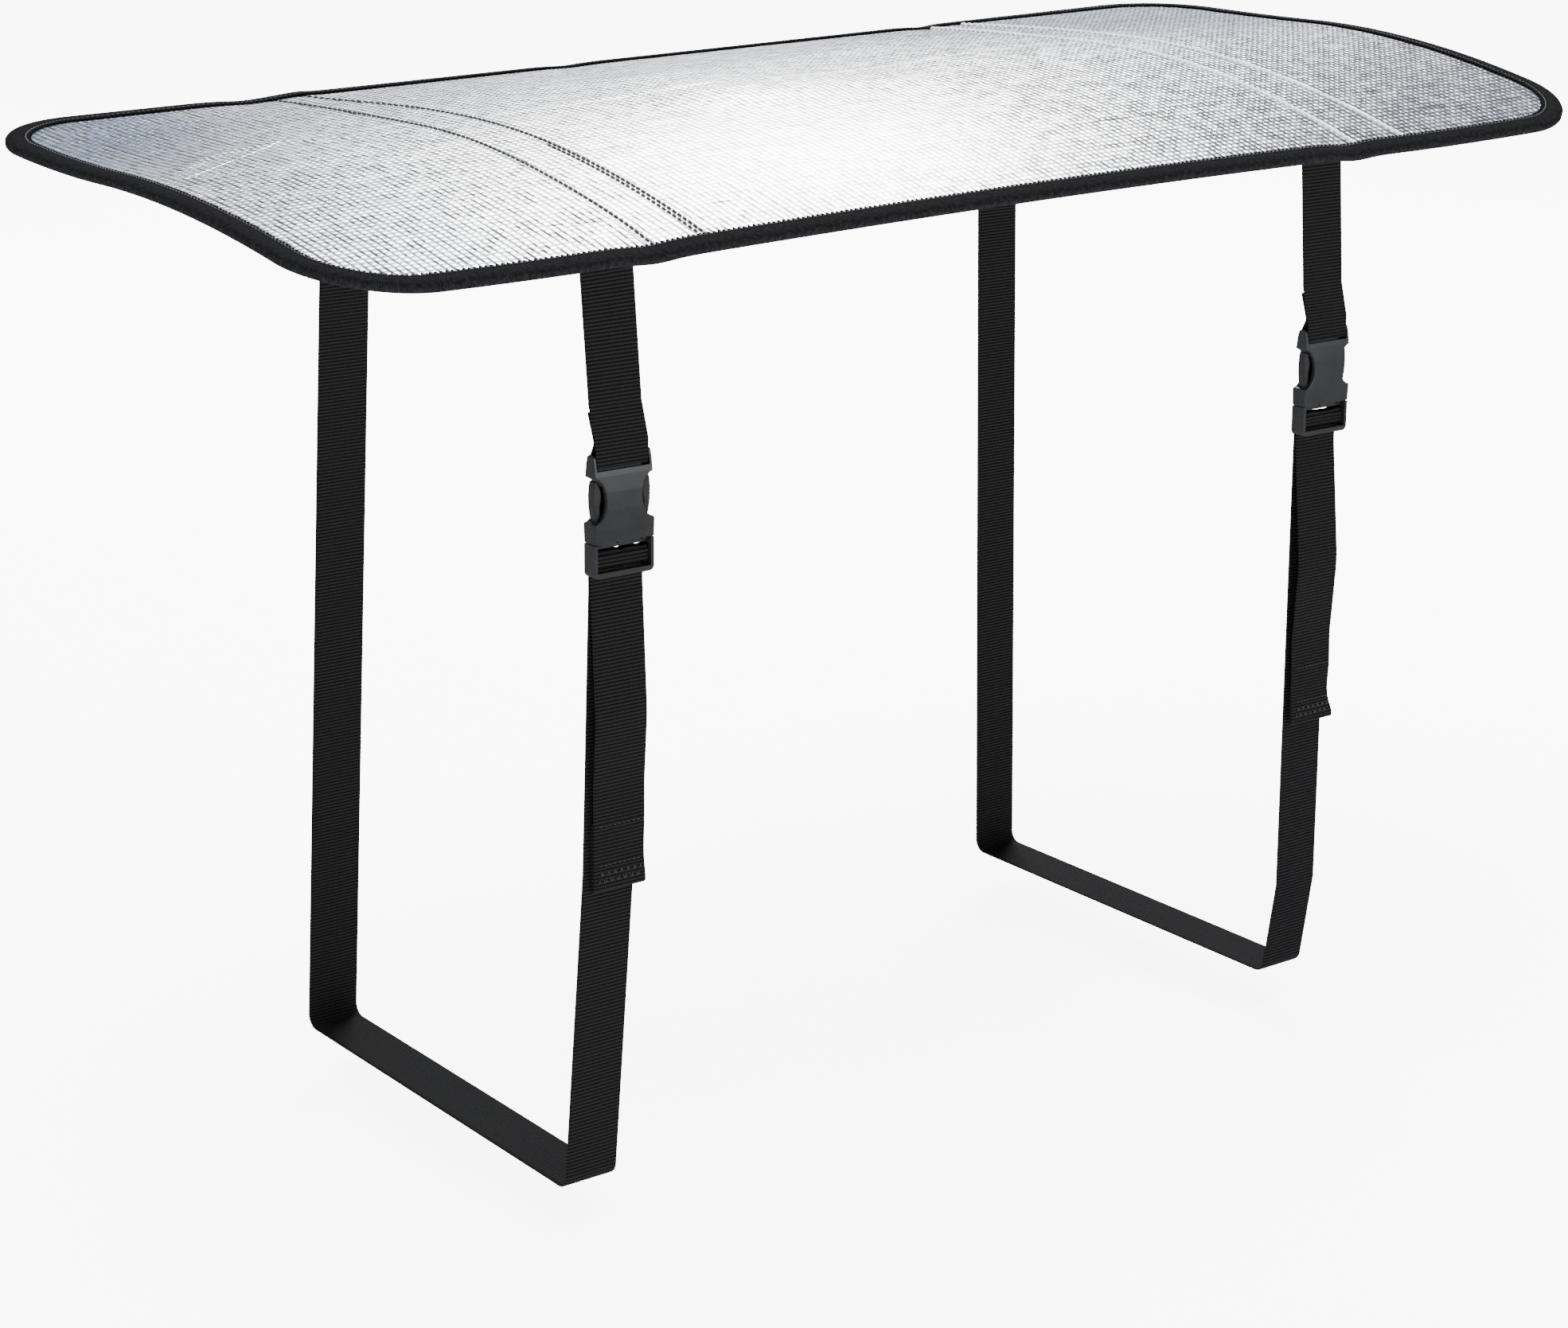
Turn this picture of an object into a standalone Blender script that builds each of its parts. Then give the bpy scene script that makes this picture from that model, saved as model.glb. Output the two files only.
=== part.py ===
"""Air conditioner cover: one arched foil sheet with a bound edge, held by two webbing loops that
are sewn under it and close with side-release buckles at the front.

Frame: metres, +X along the sheet to the right, +Y towards the back, +Z up. The origin lies on
the flat patch under the crown of the sheet, where the sheet rests.
"""

import bmesh
import bpy
import numpy as np
from mathutils import Matrix

# Sheet, as it lies: its outline seen from above, and how its top face falls from the crown
SHEET_LENGTH = 0.934
EDGE_FRONT = -0.2515
EDGE_BACK = 0.1640
CORNER_RADIUS = 0.060
SHEET_THICKNESS = 0.003
# Each height along the sheet is centre + slope * s + bow * s * s, with s from -1 to 1
CROWN_HEIGHT = {"centre": 0.0030, "slope": 0.0152, "bow": -0.0136}
FRONT_FALL = {"centre": 0.0418, "slope": 0.0056, "bow": -0.0056}
BACK_FALL = {"centre": 0.0073, "slope": 0.0036, "bow": -0.0150}
FALL_POWER = 1.9
FRONT_CORNER_LIFT = 0.0074
CORNER_LIFT_START = 0.55
# Flat patch on which the sheet rests, half sizes, and where it has faded out
REST_FLAT = (0.055, 0.036)
REST_FADED = (0.140, 0.085)

# Binding tape folded over the sheet's edge
BINDING_LEG = 0.012
BINDING_THICKNESS = 0.001
BINDING_GAP = 0.0004
BINDING_END_GAP = 0.0005
BINDING_CHAMFER = 0.0003

# Space that the strap loops go round
LOOP_FRONT = -0.183
LOOP_BACK = 0.1046
LOOP_BOTTOM = -0.591

# Webbing
WEB_WIDTH = 0.0345
WEB_THICKNESS = 0.0015
WEB_SHEET_GAP = 0.0005
WEB_LAYER_GAP = 0.0004
WEB_STAND_OFF = 0.00225
FACE_BEND = 0.011
FOOT_BEND = 0.008
WRAP_BEND = 0.0015
SHEET_TILT_FADE = 0.090

# Buckle, in its own frame: z up from the foot of the ladder, y from its front to its back
BUCKLE_HALF_WIDTH = 0.0198
TOP_HALF_WIDTH = 0.0193
SLOT_HALF_WIDTH = 0.0176
BAR_HALF_DEPTH = 0.0015
LADDER_HALF_DEPTH = 0.0052
END_BAR_BACK = -0.0015
LADDER_FOOT = 0.0032
OUTER_SLOT_TOP = 0.0080
CENTRE_BAR_TOP = 0.0110
INNER_SLOT_TOP = 0.0160
PLUG_TOP = 0.0192
CROSSBAR_FRONT = -0.0010
SOCKET_BOTTOM = 0.0195
SOCKET_TOP = 0.0600
LOOP_SLOT_TOP = 0.0628
LOOP_BAR_TOP = 0.0662
EAR_TOP = 0.0690
# Half depth of the socket at heights from its mouth to the top of its arms
SOCKET_SIDE = [(0.0195, 0.0052), (0.0270, 0.0057), (0.0380, 0.0058), (0.0480, 0.0055), (0.0570, 0.0048),
               (0.0640, 0.0039), (0.0676, 0.0029), (0.0694, 0.0013)]
NOTCH_LOW = 0.0307
NOTCH_HIGH = 0.0563
NOTCH_SWEEP = (255.0, 105.0)
NOTCH_STEPS = 9
LOOP_HALF_DEPTH = 0.00175
CAVITY_HALF_WIDTH = 0.0173
CAVITY_HALF_DEPTH = 0.0032
CAVITY_TOP = 0.0515
WAIST_HALF_WIDTH = 0.0118
PRONG_HALF_DEPTH = 0.0028
PRONG_OUTER = [(0.0168, 0.0300), (0.0180, 0.0340), (0.0189, 0.0400), (0.0191, 0.0460), (0.0187, 0.0515),
               (0.0178, 0.0548)]
PRONG_INNER = [(0.0166, 0.0543), (0.0150, 0.0520), (0.0136, 0.0490), (0.0133, 0.0450), (0.0143, 0.0400),
               (0.0140, 0.0335)]
PRONG_ROOT_INNER = 0.0133
PRONG_ROOT_OUTER = 0.0168
PRONG_ROOT_HEIGHT = 0.0177
GUIDE_HALF_WIDTH = 0.0020
GUIDE_TOP = 0.0450
CASE_ROUNDING = 0.0012
BAR_ROUNDING = 0.0007
THROUGH = 0.0100
LOAD_RUN_Y = 0.0049

# Webbing at the buckle: its sewn-back end, its way through the ladder and its hem
SEWN_BACK_LENGTH = 0.027
SEWN_BACK_START = 0.009
SEWN_BACK_CLEAR = 0.006
SEWN_BACK_LEAN = 0.85
LADDER_WEB_GAP = 0.0006
INNER_PASS_RISE = 0.0003
OUTER_PASS_DROP = 0.00015
LADDER_APPROACH = 0.010
TAIL_START = 0.008
HEM_LENGTH = 0.040
FACE_TOP_INSET = 0.0070
# Radii of its bends: where the sewn-back end closes on the bar, through the ladder, and down the tail
CLOSING_BEND = 0.003
PASS_BENDS = (0.0040, 0.0026, 0.0022, 0.0018)
SOFT_BEND = 0.060
TAIL_BEND = 0.100
# The tail's shape: how far down it bows most, how much of the bow is left at its end, and the shares of
# its sideways drift at the bow and above the hem
TAIL_BOW_PLACE = 0.45
TAIL_END_BOW = 0.4
TAIL_DRIFT = (-0.1, 0.3)
HEM_APPROACH = 0.020

SEWN_STATIONS = 24
GRID_COLUMNS = 36
CORNER_STEPS = 6
MIDDLE_ROWS = 15
EDGE_STEP = 0.028
ROUTE_STEP = 0.030
ARC_STEPS = 5
SHARP_ANGLE = 40.0
MERGE = 0.00001

# Where each strap runs across the sheet, down the face and round the foot, and its buckle
STRAPS = {
    "left": {
        "front_edge_x": -0.2545, "back_edge_x": -0.2525, "face_x": -0.2677, "buckle_x": -0.2592,
        "lean": -0.0047, "buckle_z": -0.2350, "low_x": -0.2640, "low_z": -0.4080, "foot_x": -0.2767,
        "tail_x": -0.2593, "tail_length": 0.1825, "tail_bow": 0.0045,
    },
    "right": {
        "front_edge_x": 0.2740, "back_edge_x": 0.2635, "face_x": 0.2755, "buckle_x": 0.2850,
        "lean": -0.0061, "buckle_z": -0.2275, "low_x": 0.2875, "low_z": -0.5350, "foot_x": 0.2785,
        "tail_x": 0.2890, "tail_length": 0.1945, "tail_bow": 0.0085,
    },
}

COLOURS = {
    "foil": {"colour": (0.78, 0.80, 0.83, 1.0), "roughness": 0.32, "metallic": 0.75},
    "binding": {"colour": (0.018, 0.019, 0.022, 1.0), "roughness": 0.75, "metallic": 0.0},
    "webbing": {"colour": (0.012, 0.012, 0.013, 1.0), "roughness": 0.70, "metallic": 0.0},
    "buckle_plastic": {"colour": (0.020, 0.020, 0.022, 1.0), "roughness": 0.38, "metallic": 0.0},
}


def clear_scene():
    """Removes every object, so that the model starts from nothing."""
    for thing in list(bpy.data.objects):
        bpy.data.objects.remove(thing, do_unlink=True)


def make_collection(name):
    """Adds a collection to the scene."""
    collection = bpy.data.collections.new(name)
    bpy.context.scene.collection.children.link(collection)
    return collection


def make_material(name):
    """Makes a Principled material from the table of colours."""
    look = COLOURS[name]
    material = bpy.data.materials.new(name)
    material.use_nodes = True
    shader = material.node_tree.nodes["Principled BSDF"]
    shader.inputs["Base Color"].default_value = look["colour"]
    shader.inputs["Roughness"].default_value = look["roughness"]
    shader.inputs["Metallic"].default_value = look["metallic"]
    return material


def add_object(name, mesh, collection, material=None):
    """Puts a mesh into the scene as a named object."""
    thing = bpy.data.objects.new(name, mesh)
    collection.objects.link(thing)
    if material is not None:
        mesh.materials.clear()
        mesh.materials.append(material)
    return thing


def smoothstep(t):
    """Eases from 0 to 1 between t = 0 and t = 1."""
    t = np.clip(t, 0.0, 1.0)
    return t * t * (3.0 - 2.0 * t)


def along_sheet(row, s):
    """Evaluates one of the heights that bend along the sheet's length."""
    return row["centre"] + row["slope"] * s + row["bow"] * s * s


def top_height(x, y):
    """Height of the sheet's top face: a crown that falls to the front and the back edge."""
    s = x / (SHEET_LENGTH / 2)
    to_front = np.clip(y / EDGE_FRONT, 0.0, None) ** FALL_POWER
    to_back = np.clip(y / EDGE_BACK, 0.0, None) ** FALL_POWER
    height = along_sheet(CROWN_HEIGHT, s)
    height = height - along_sheet(FRONT_FALL, s) * to_front - along_sheet(BACK_FALL, s) * to_back
    end = np.clip((np.abs(s) - CORNER_LIFT_START) / (1.0 - CORNER_LIFT_START), 0.0, None) ** 2
    front_share = np.clip((EDGE_BACK - y) / (EDGE_BACK - EDGE_FRONT), 0.0, 1.0)
    height = height + FRONT_CORNER_LIFT * end * front_share
    fade_x = smoothstep((REST_FADED[0] - np.abs(x)) / (REST_FADED[0] - REST_FLAT[0]))
    fade_y = smoothstep((REST_FADED[1] - np.abs(y)) / (REST_FADED[1] - REST_FLAT[1]))
    return height + fade_x * fade_y * (SHEET_THICKNESS - height)


def middle_height(x, y):
    """Height of the sheet's middle layer, half its thickness under the top face."""
    return top_height(x, y) - SHEET_THICKNESS / 2


def surface_normal(x, y):
    """Unit normal of the middle layer, from its slopes along X and Y."""
    step = 0.001
    slope_x = (middle_height(x + step, y) - middle_height(x - step, y)) / (2 * step)
    slope_y = (middle_height(x, y + step) - middle_height(x, y - step)) / (2 * step)
    normal = np.stack([-slope_x, -slope_y, np.ones_like(slope_x)], axis=-1)
    return normal / np.linalg.norm(normal, axis=-1, keepdims=True)


def row_depths():
    """Distances of the grid's rows from the front edge: close in the corners, then even."""
    depth = EDGE_BACK - EDGE_FRONT
    turn = np.linspace(0.0, np.pi / 2, CORNER_STEPS + 1)
    corner = CORNER_RADIUS * (1.0 - np.cos(turn))
    middle = np.linspace(CORNER_RADIUS, depth - CORNER_RADIUS, MIDDLE_ROWS + 1)[1:-1]
    return np.concatenate([corner, middle, (depth - corner)[::-1]])


def make_sheet(collection):
    """A grid drawn in to the rounded outline, lifted to the arch and given its thickness."""
    depths = row_depths()
    rows = len(depths)
    grid = bmesh.new()
    bmesh.ops.create_grid(grid, x_segments=GRID_COLUMNS, y_segments=rows - 1, size=0.5)
    mesh = bpy.data.meshes.new("cover_sheet")
    grid.to_mesh(mesh)
    grid.free()
    flat = np.empty(len(mesh.vertices) * 3)
    mesh.vertices.foreach_get("co", flat)
    flat = flat.reshape(-1, 3)
    row = np.rint((flat[:, 1] + 0.5) * (rows - 1)).astype(int)
    from_edge = np.minimum(depths[row], depths[-1] - depths[row])
    into_corner = np.clip(CORNER_RADIUS - from_edge, 0.0, None)
    inset = CORNER_RADIUS - np.sqrt(CORNER_RADIUS ** 2 - into_corner ** 2)
    x = 2.0 * flat[:, 0] * (SHEET_LENGTH / 2 - inset)
    y = EDGE_FRONT + depths[row]
    mesh.vertices.foreach_set("co", np.stack([x, y, middle_height(x, y)], axis=1).ravel())
    mesh.shade_smooth()
    sheet = add_object("cover_sheet", mesh, collection, make_material("foil"))
    wall = sheet.modifiers.new("thickness", "SOLIDIFY")
    wall.thickness = SHEET_THICKNESS
    wall.offset = 0.0
    wall.use_even_offset = True
    return sheet


def outline_points():
    """The sheet's outline seen from above, anticlockwise: straight edges and round corners."""
    half = SHEET_LENGTH / 2 - CORNER_RADIUS
    low = EDGE_FRONT + CORNER_RADIUS
    high = EDGE_BACK - CORNER_RADIUS
    turn = np.linspace(0.0, np.pi / 2, CORNER_STEPS + 1)
    centres = np.array([(half, low), (half, high), (-half, high), (-half, low)])
    starts = (-np.pi / 2, 0.0, np.pi / 2, np.pi)
    arcs = [centre + CORNER_RADIUS * np.stack([np.cos(start + turn), np.sin(start + turn)], 1)
            for centre, start in zip(centres, starts)]
    points = []
    for arc, following in zip(arcs, arcs[1:] + arcs[:1]):
        goal = following[0]
        count = int(np.ceil(np.linalg.norm(goal - arc[-1]) / EDGE_STEP))
        share = np.linspace(0.0, 1.0, count + 1)[1:-1, None]
        points += [arc, arc[-1] + share * (goal - arc[-1])]
    return np.concatenate(points)


def make_binding(collection):
    """Tape folded over the edge: a U-shaped strip carried round the outline, then thickened."""
    plan = outline_points()
    x, y = plan[:, 0], plan[:, 1]
    edge = np.stack([x, y, middle_height(x, y)], axis=1)
    along = np.roll(edge, -1, axis=0) - np.roll(edge, 1, axis=0)
    normal = surface_normal(x, y)
    outward = np.cross(along, normal)
    outward /= np.linalg.norm(outward, axis=1, keepdims=True)
    leg = SHEET_THICKNESS / 2 + BINDING_GAP
    nose = BINDING_END_GAP
    section = [(-BINDING_LEG, leg), (nose - BINDING_CHAMFER, leg), (nose, leg - BINDING_CHAMFER)]
    section += [(out, -height) for out, height in reversed(section)]
    strip = np.stack([edge + out * outward + height * normal for out, height in section], axis=1)
    stations, width = strip.shape[:2]
    index = np.arange(stations * width).reshape(stations, width)
    following = np.roll(index, -1, axis=0)
    faces = np.stack([index[:, :-1], index[:, 1:], following[:, 1:], following[:, :-1]], axis=-1)
    mesh = bpy.data.meshes.new("edge_binding")
    mesh.from_pydata(strip.reshape(-1, 3).tolist(), [], faces.reshape(-1, 4).tolist())
    mesh.shade_smooth()
    binding = add_object("edge_binding", mesh, collection, make_material("binding"))
    wall = binding.modifiers.new("thickness", "SOLIDIFY")
    wall.thickness = BINDING_THICKNESS
    wall.offset = 1.0
    wall.use_even_offset = True
    return binding


def rounded_route(corners):
    """Points along straight runs between corners (x, y, z, radius), each corner an arc in Y and Z."""
    corners = np.array(corners)
    points = [corners[0, :3]]
    for before, corner, after in zip(corners[:-2], corners[1:-1], corners[2:]):
        back = before[1:3] - corner[1:3]
        on = after[1:3] - corner[1:3]
        back_length, on_length = np.linalg.norm(back), np.linalg.norm(on)
        back, on = back / back_length, on / on_length
        half_angle = np.arccos(np.clip(back @ on, -1.0, 1.0)) / 2
        reach = min(corner[3] / np.tan(half_angle), 0.499 * back_length, 0.499 * on_length)
        radius = reach * np.tan(half_angle)
        if radius < MERGE:
            points.append(corner[:3])
            continue
        inward = (back + on) / np.linalg.norm(back + on)
        centre = corner[1:3] + inward * radius / np.sin(half_angle)
        first = corner[1:3] + back * reach - centre
        last = corner[1:3] + on * reach - centre
        sweep = np.arctan2(first[0] * last[1] - first[1] * last[0], first @ last)
        for angle in np.linspace(0.0, sweep, ARC_STEPS):
            turned = np.array([first[0] * np.cos(angle) - first[1] * np.sin(angle),
                               first[0] * np.sin(angle) + first[1] * np.cos(angle)])
            points.append(np.array([corner[0], *(centre + turned)]))
    points.append(corners[-1, :3])
    return np.array(points)


def with_even_steps(points, longest):
    """Splits every run that is longer than the given step."""
    result = [points[:1]]
    for start, end in zip(points[:-1], points[1:]):
        count = max(1, int(np.ceil(np.linalg.norm(end - start) / longest)))
        share = np.linspace(0.0, 1.0, count + 1)[1:, None]
        result.append(start + share * (end - start))
    return np.concatenate(result)


def buckle_place(strap):
    """Origin of the buckle's own frame."""
    return np.array([strap["buckle_x"], LOOP_FRONT - WEB_STAND_OFF - WEB_THICKNESS / 2 - LOAD_RUN_Y,
                     strap["buckle_z"]])


def strap_route(strap):
    """Centre line of one webbing, from its sewn-back end above the socket to the hem of its tail."""
    place = buckle_place(strap)
    layer = WEB_THICKNESS + WEB_LAYER_GAP
    under_sheet = SHEET_THICKNESS / 2 + WEB_SHEET_GAP + WEB_THICKNESS / 2
    wrap = LOOP_HALF_DEPTH + WEB_SHEET_GAP + WEB_THICKNESS / 2
    fold_reach = BINDING_LEG + BINDING_END_GAP + WEB_THICKNESS / 2 + layer / 2
    front_fold, back_fold = EDGE_FRONT + fold_reach, EDGE_BACK - fold_reach
    face = LOOP_FRONT - WEB_STAND_OFF - WEB_THICKNESS / 2
    back = LOOP_BACK + WEB_STAND_OFF + WEB_THICKNESS / 2
    foot = LOOP_BOTTOM - WEB_STAND_OFF - WEB_THICKNESS / 2
    loop_low = LOOP_SLOT_TOP - WEB_SHEET_GAP - WEB_THICKNESS / 2
    sewn_back_top = LOOP_BAR_TOP + SEWN_BACK_LENGTH
    ladder_front = -BAR_HALF_DEPTH - LADDER_WEB_GAP - WEB_THICKNESS / 2
    tail_y = BAR_HALF_DEPTH + LADDER_WEB_GAP + WEB_THICKNESS / 2
    inner_pass = (CENTRE_BAR_TOP + INNER_SLOT_TOP) / 2 + INNER_PASS_RISE
    outer_pass = (LADDER_FOOT + OUTER_SLOT_TOP) / 2 - OUTER_PASS_DROP

    def under(x, y, depth):
        return float(middle_height(np.array(x), np.array(y))) - depth

    def on_buckle(y, z, radius, x=0.0):
        return (place[0] + x, place[1] + y, place[2] + z, radius)

    across = np.linspace(front_fold, back_fold, SEWN_STATIONS)
    share = (across - EDGE_FRONT) / (EDGE_BACK - EDGE_FRONT)
    across_x = strap["front_edge_x"] + share * (strap["back_edge_x"] - strap["front_edge_x"])
    sewn = [(x, y, under(x, y, under_sheet), 0.0) for x, y in zip(across_x, across)]
    first, last = sewn[0], sewn[-1]
    face_top = LOOP_FRONT - FACE_TOP_INSET
    lean = strap["lean"]
    corners = [
        on_buckle(-wrap + layer, sewn_back_top, 0.0, SEWN_BACK_LEAN * lean),
        on_buckle(-wrap + layer, LOOP_BAR_TOP + SEWN_BACK_START, CLOSING_BEND),
        on_buckle(wrap, LOOP_BAR_TOP + WEB_SHEET_GAP, WRAP_BEND),
        on_buckle(wrap, loop_low, WRAP_BEND),
        on_buckle(-wrap, loop_low, WRAP_BEND),
        on_buckle(-wrap, LOOP_BAR_TOP + SEWN_BACK_START, 0.0),
        on_buckle(-wrap, sewn_back_top + SEWN_BACK_CLEAR, SOFT_BEND, lean),
        (strap["face_x"], face_top, under(strap["face_x"], face_top, under_sheet + layer), FACE_BEND),
        (first[0], front_fold, first[2] - layer, 0.0),
        (first[0], front_fold - layer / 2, first[2] - layer, layer / 2),
        (first[0], front_fold - layer / 2, first[2], layer / 2),
    ]
    corners += sewn
    corners += [
        (last[0], back_fold + layer / 2, last[2], layer / 2),
        (last[0], back_fold + layer / 2, last[2] - layer, layer / 2),
        (last[0], back_fold, last[2] - layer, 0.0),
        (last[0], back, under(last[0], back, under_sheet + layer), FACE_BEND),
        (strap["foot_x"], back, foot, FOOT_BEND),
        (strap["foot_x"], face, foot, FOOT_BEND),
        (strap["low_x"], face, strap["low_z"], 0.0),
        (place[0], face, place[2] - LADDER_APPROACH, 0.0),
        (place[0], face, place[2] + inner_pass, PASS_BENDS[0]),
        on_buckle(ladder_front, inner_pass, PASS_BENDS[1]),
        on_buckle(ladder_front, outer_pass, PASS_BENDS[2]),
        on_buckle(tail_y, outer_pass, PASS_BENDS[3]),
        on_buckle(tail_y, -TAIL_START, SOFT_BEND),
    ]
    drift = strap["tail_x"] - place[0]
    length, bow = strap["tail_length"], strap["tail_bow"]
    end_y = tail_y - TAIL_END_BOW * bow
    hem_top = HEM_LENGTH - length
    corners += [
        on_buckle(tail_y - bow, -TAIL_BOW_PLACE * length, TAIL_BEND, TAIL_DRIFT[0] * drift),
        on_buckle(end_y, hem_top + HEM_APPROACH, SOFT_BEND, TAIL_DRIFT[1] * drift),
        on_buckle(end_y, -length, layer / 2, drift),
        on_buckle(end_y + layer, -length, layer / 2, drift),
        on_buckle(end_y + layer, hem_top, 0.0, drift),
    ]
    return with_even_steps(rounded_route(corners), ROUTE_STEP)


def make_strap(side, strap, collection, material):
    """A flat ribbon carried along its route, with each edge following the tilt of the sheet above it."""
    route = strap_route(strap)
    ahead = np.gradient(route[:, 1:3], axis=0)
    ahead /= np.linalg.norm(ahead, axis=1, keepdims=True)
    normal = np.stack([np.zeros(len(route)), -ahead[:, 1], ahead[:, 0]], axis=1) * WEB_THICKNESS / 2
    fade = smoothstep(1.0 + (route[:, 2] - middle_height(route[:, 0], route[:, 1])) / SHEET_TILT_FADE)
    edges = []
    for offset in (-WEB_WIDTH / 2, WEB_WIDTH / 2):
        edge = route.copy()
        edge[:, 0] += offset
        tilt = middle_height(edge[:, 0], edge[:, 1]) - middle_height(route[:, 0], route[:, 1])
        edge[:, 2] += fade * tilt
        edges.append(edge)
    ring = np.stack([edges[0] - normal, edges[1] - normal, edges[1] + normal, edges[0] + normal], axis=1)
    count = len(route)
    index = np.arange(count * 4).reshape(count, 4)
    turned = np.roll(index, -1, axis=1)
    sides = np.stack([index[:-1], turned[:-1], turned[1:], index[1:]], axis=-1).reshape(-1, 4)
    faces = sides.tolist() + [index[0, ::-1].tolist(), index[-1].tolist()]
    mesh = bpy.data.meshes.new("strap_" + side)
    mesh.from_pydata(ring.reshape(-1, 3).tolist(), [], faces)
    solid = bmesh.new()
    solid.from_mesh(mesh)
    bmesh.ops.recalc_face_normals(solid, faces=solid.faces)
    solid.to_mesh(mesh)
    solid.free()
    return add_object("strap_" + side, mesh, collection, material)


def outline_solid(name, outline, half_depth, collection, turn=0.0):
    """A flat outline in X and Z, given its depth along Y and turned about Z, as a guide mesh."""
    curve = bpy.data.curves.new(name, "CURVE")
    curve.dimensions = "2D"
    curve.fill_mode = "BOTH"
    curve.extrude = half_depth
    spline = curve.splines.new("POLY")
    spline.points.add(len(outline) - 1)
    for point, (x, z) in zip(spline.points, outline):
        point.co = (x, z, 0.0, 1.0)
    spline.use_cyclic_u = True
    drawn = bpy.data.objects.new(name + "_outline", curve)
    collection.objects.link(drawn)
    evaluated = drawn.evaluated_get(bpy.context.evaluated_depsgraph_get())
    mesh = bpy.data.meshes.new_from_object(evaluated)
    bpy.data.objects.remove(drawn, do_unlink=True)
    solid = bmesh.new()
    solid.from_mesh(mesh)
    bmesh.ops.remove_doubles(solid, verts=solid.verts, dist=MERGE)
    stand = Matrix.Rotation(turn, 3, "Z") @ Matrix.Rotation(np.pi / 2, 3, "X")
    bmesh.ops.rotate(solid, verts=solid.verts, cent=(0, 0, 0), matrix=stand)
    bmesh.ops.recalc_face_normals(solid, faces=solid.faces)
    solid.to_mesh(mesh)
    solid.free()
    return as_guide(add_object(name, mesh, collection))


def box_solid(name, low, high, collection):
    """A box between two corners, as a guide mesh."""
    low, high = np.array(low), np.array(high)
    place = Matrix.Translation((low + high) / 2) @ Matrix.Diagonal((*(high - low), 1.0))
    solid = bmesh.new()
    bmesh.ops.create_cube(solid, size=1.0, matrix=place)
    mesh = bpy.data.meshes.new(name)
    solid.to_mesh(mesh)
    solid.free()
    return as_guide(add_object(name, mesh, collection))


def as_guide(thing):
    """Marks an object that only shapes others."""
    thing.hide_render = True
    thing.display_type = "WIRE"
    return thing


def round_edges(thing, width, segments):
    """Rounds the sharp edges."""
    bevel = thing.modifiers.new("rounded", "BEVEL")
    bevel.width = width
    bevel.segments = segments
    bevel.limit_method = "ANGLE"
    bevel.angle_limit = np.radians(SHARP_ANGLE)


def combine(thing, other, operation):
    """Adds a Boolean of the other solid."""
    step = thing.modifiers.new(other.name, "BOOLEAN")
    step.operation = operation
    step.object = other


def finished_mesh(thing, name):
    """The mesh of a guide with its modifiers worked out, shaded smooth between sharp edges."""
    bpy.context.view_layer.update()
    evaluated = thing.evaluated_get(bpy.context.evaluated_depsgraph_get())
    mesh = bpy.data.meshes.new_from_object(evaluated)
    mesh.name = name
    solid = bmesh.new()
    solid.from_mesh(mesh)
    bmesh.ops.remove_doubles(solid, verts=solid.verts, dist=MERGE)
    bmesh.ops.dissolve_degenerate(solid, edges=solid.edges, dist=MERGE)
    bmesh.ops.triangulate(solid, faces=solid.faces)
    solid.to_mesh(mesh)
    solid.free()
    mesh.shade_smooth()
    mesh.set_sharp_from_angle(angle=np.radians(SHARP_ANGLE))
    return mesh


def mirrored(half):
    """Closes a right-hand half outline, given from the foot upwards, with its left-hand mirror."""
    return half + [(-x, z) for x, z in reversed(half)]


def arc(centre, radii, start, end, steps):
    """Points of an elliptical arc in X and Z, angles in degrees."""
    angles = np.radians(np.linspace(start, end, steps))
    return [(centre[0] + radii[0] * np.cos(a), centre[1] + radii[1] * np.sin(a)) for a in angles]


def socket_mesh(guides):
    """Socket: a domed case with a finger notch in each side, hollow for the prongs, and a loop bar."""
    half = BUCKLE_HALF_WIDTH
    middle = (NOTCH_LOW + NOTCH_HIGH) / 2
    radii = (half - WAIST_HALF_WIDTH, middle - NOTCH_LOW)
    notch = arc((half, middle), radii, *NOTCH_SWEEP, NOTCH_STEPS)
    outline = [(half, SOCKET_BOTTOM), (half, NOTCH_LOW)] + notch
    outline += [(TOP_HALF_WIDTH, NOTCH_HIGH), (TOP_HALF_WIDTH, EAR_TOP)]
    case = outline_solid("socket_case", mirrored(outline), SOCKET_SIDE[2][1] + MERGE, guides)
    side = [(depth, z) for z, depth in SOCKET_SIDE]
    blank = outline_solid("socket_blank", mirrored(side), half + THROUGH, guides, np.pi / 2)
    combine(case, blank, "INTERSECT")
    round_edges(case, CASE_ROUNDING, 2)
    cavity = box_solid("socket_cavity", (-CAVITY_HALF_WIDTH, -CAVITY_HALF_DEPTH, SOCKET_BOTTOM - THROUGH),
                       (CAVITY_HALF_WIDTH, CAVITY_HALF_DEPTH, CAVITY_TOP), guides)
    combine(case, cavity, "DIFFERENCE")
    gap = box_solid("socket_gap", (-SLOT_HALF_WIDTH, -THROUGH, SOCKET_TOP),
                    (SLOT_HALF_WIDTH, THROUGH, EAR_TOP + THROUGH), guides)
    combine(case, gap, "DIFFERENCE")
    bar = box_solid("loop_bar", (-SLOT_HALF_WIDTH - CASE_ROUNDING, -LOOP_HALF_DEPTH, LOOP_SLOT_TOP),
                    (SLOT_HALF_WIDTH + CASE_ROUNDING, LOOP_HALF_DEPTH, LOOP_BAR_TOP - BAR_ROUNDING), guides)
    round_edges(bar, BAR_ROUNDING, 2)
    combine(case, bar, "UNION")
    return finished_mesh(case, "socket")


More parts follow.
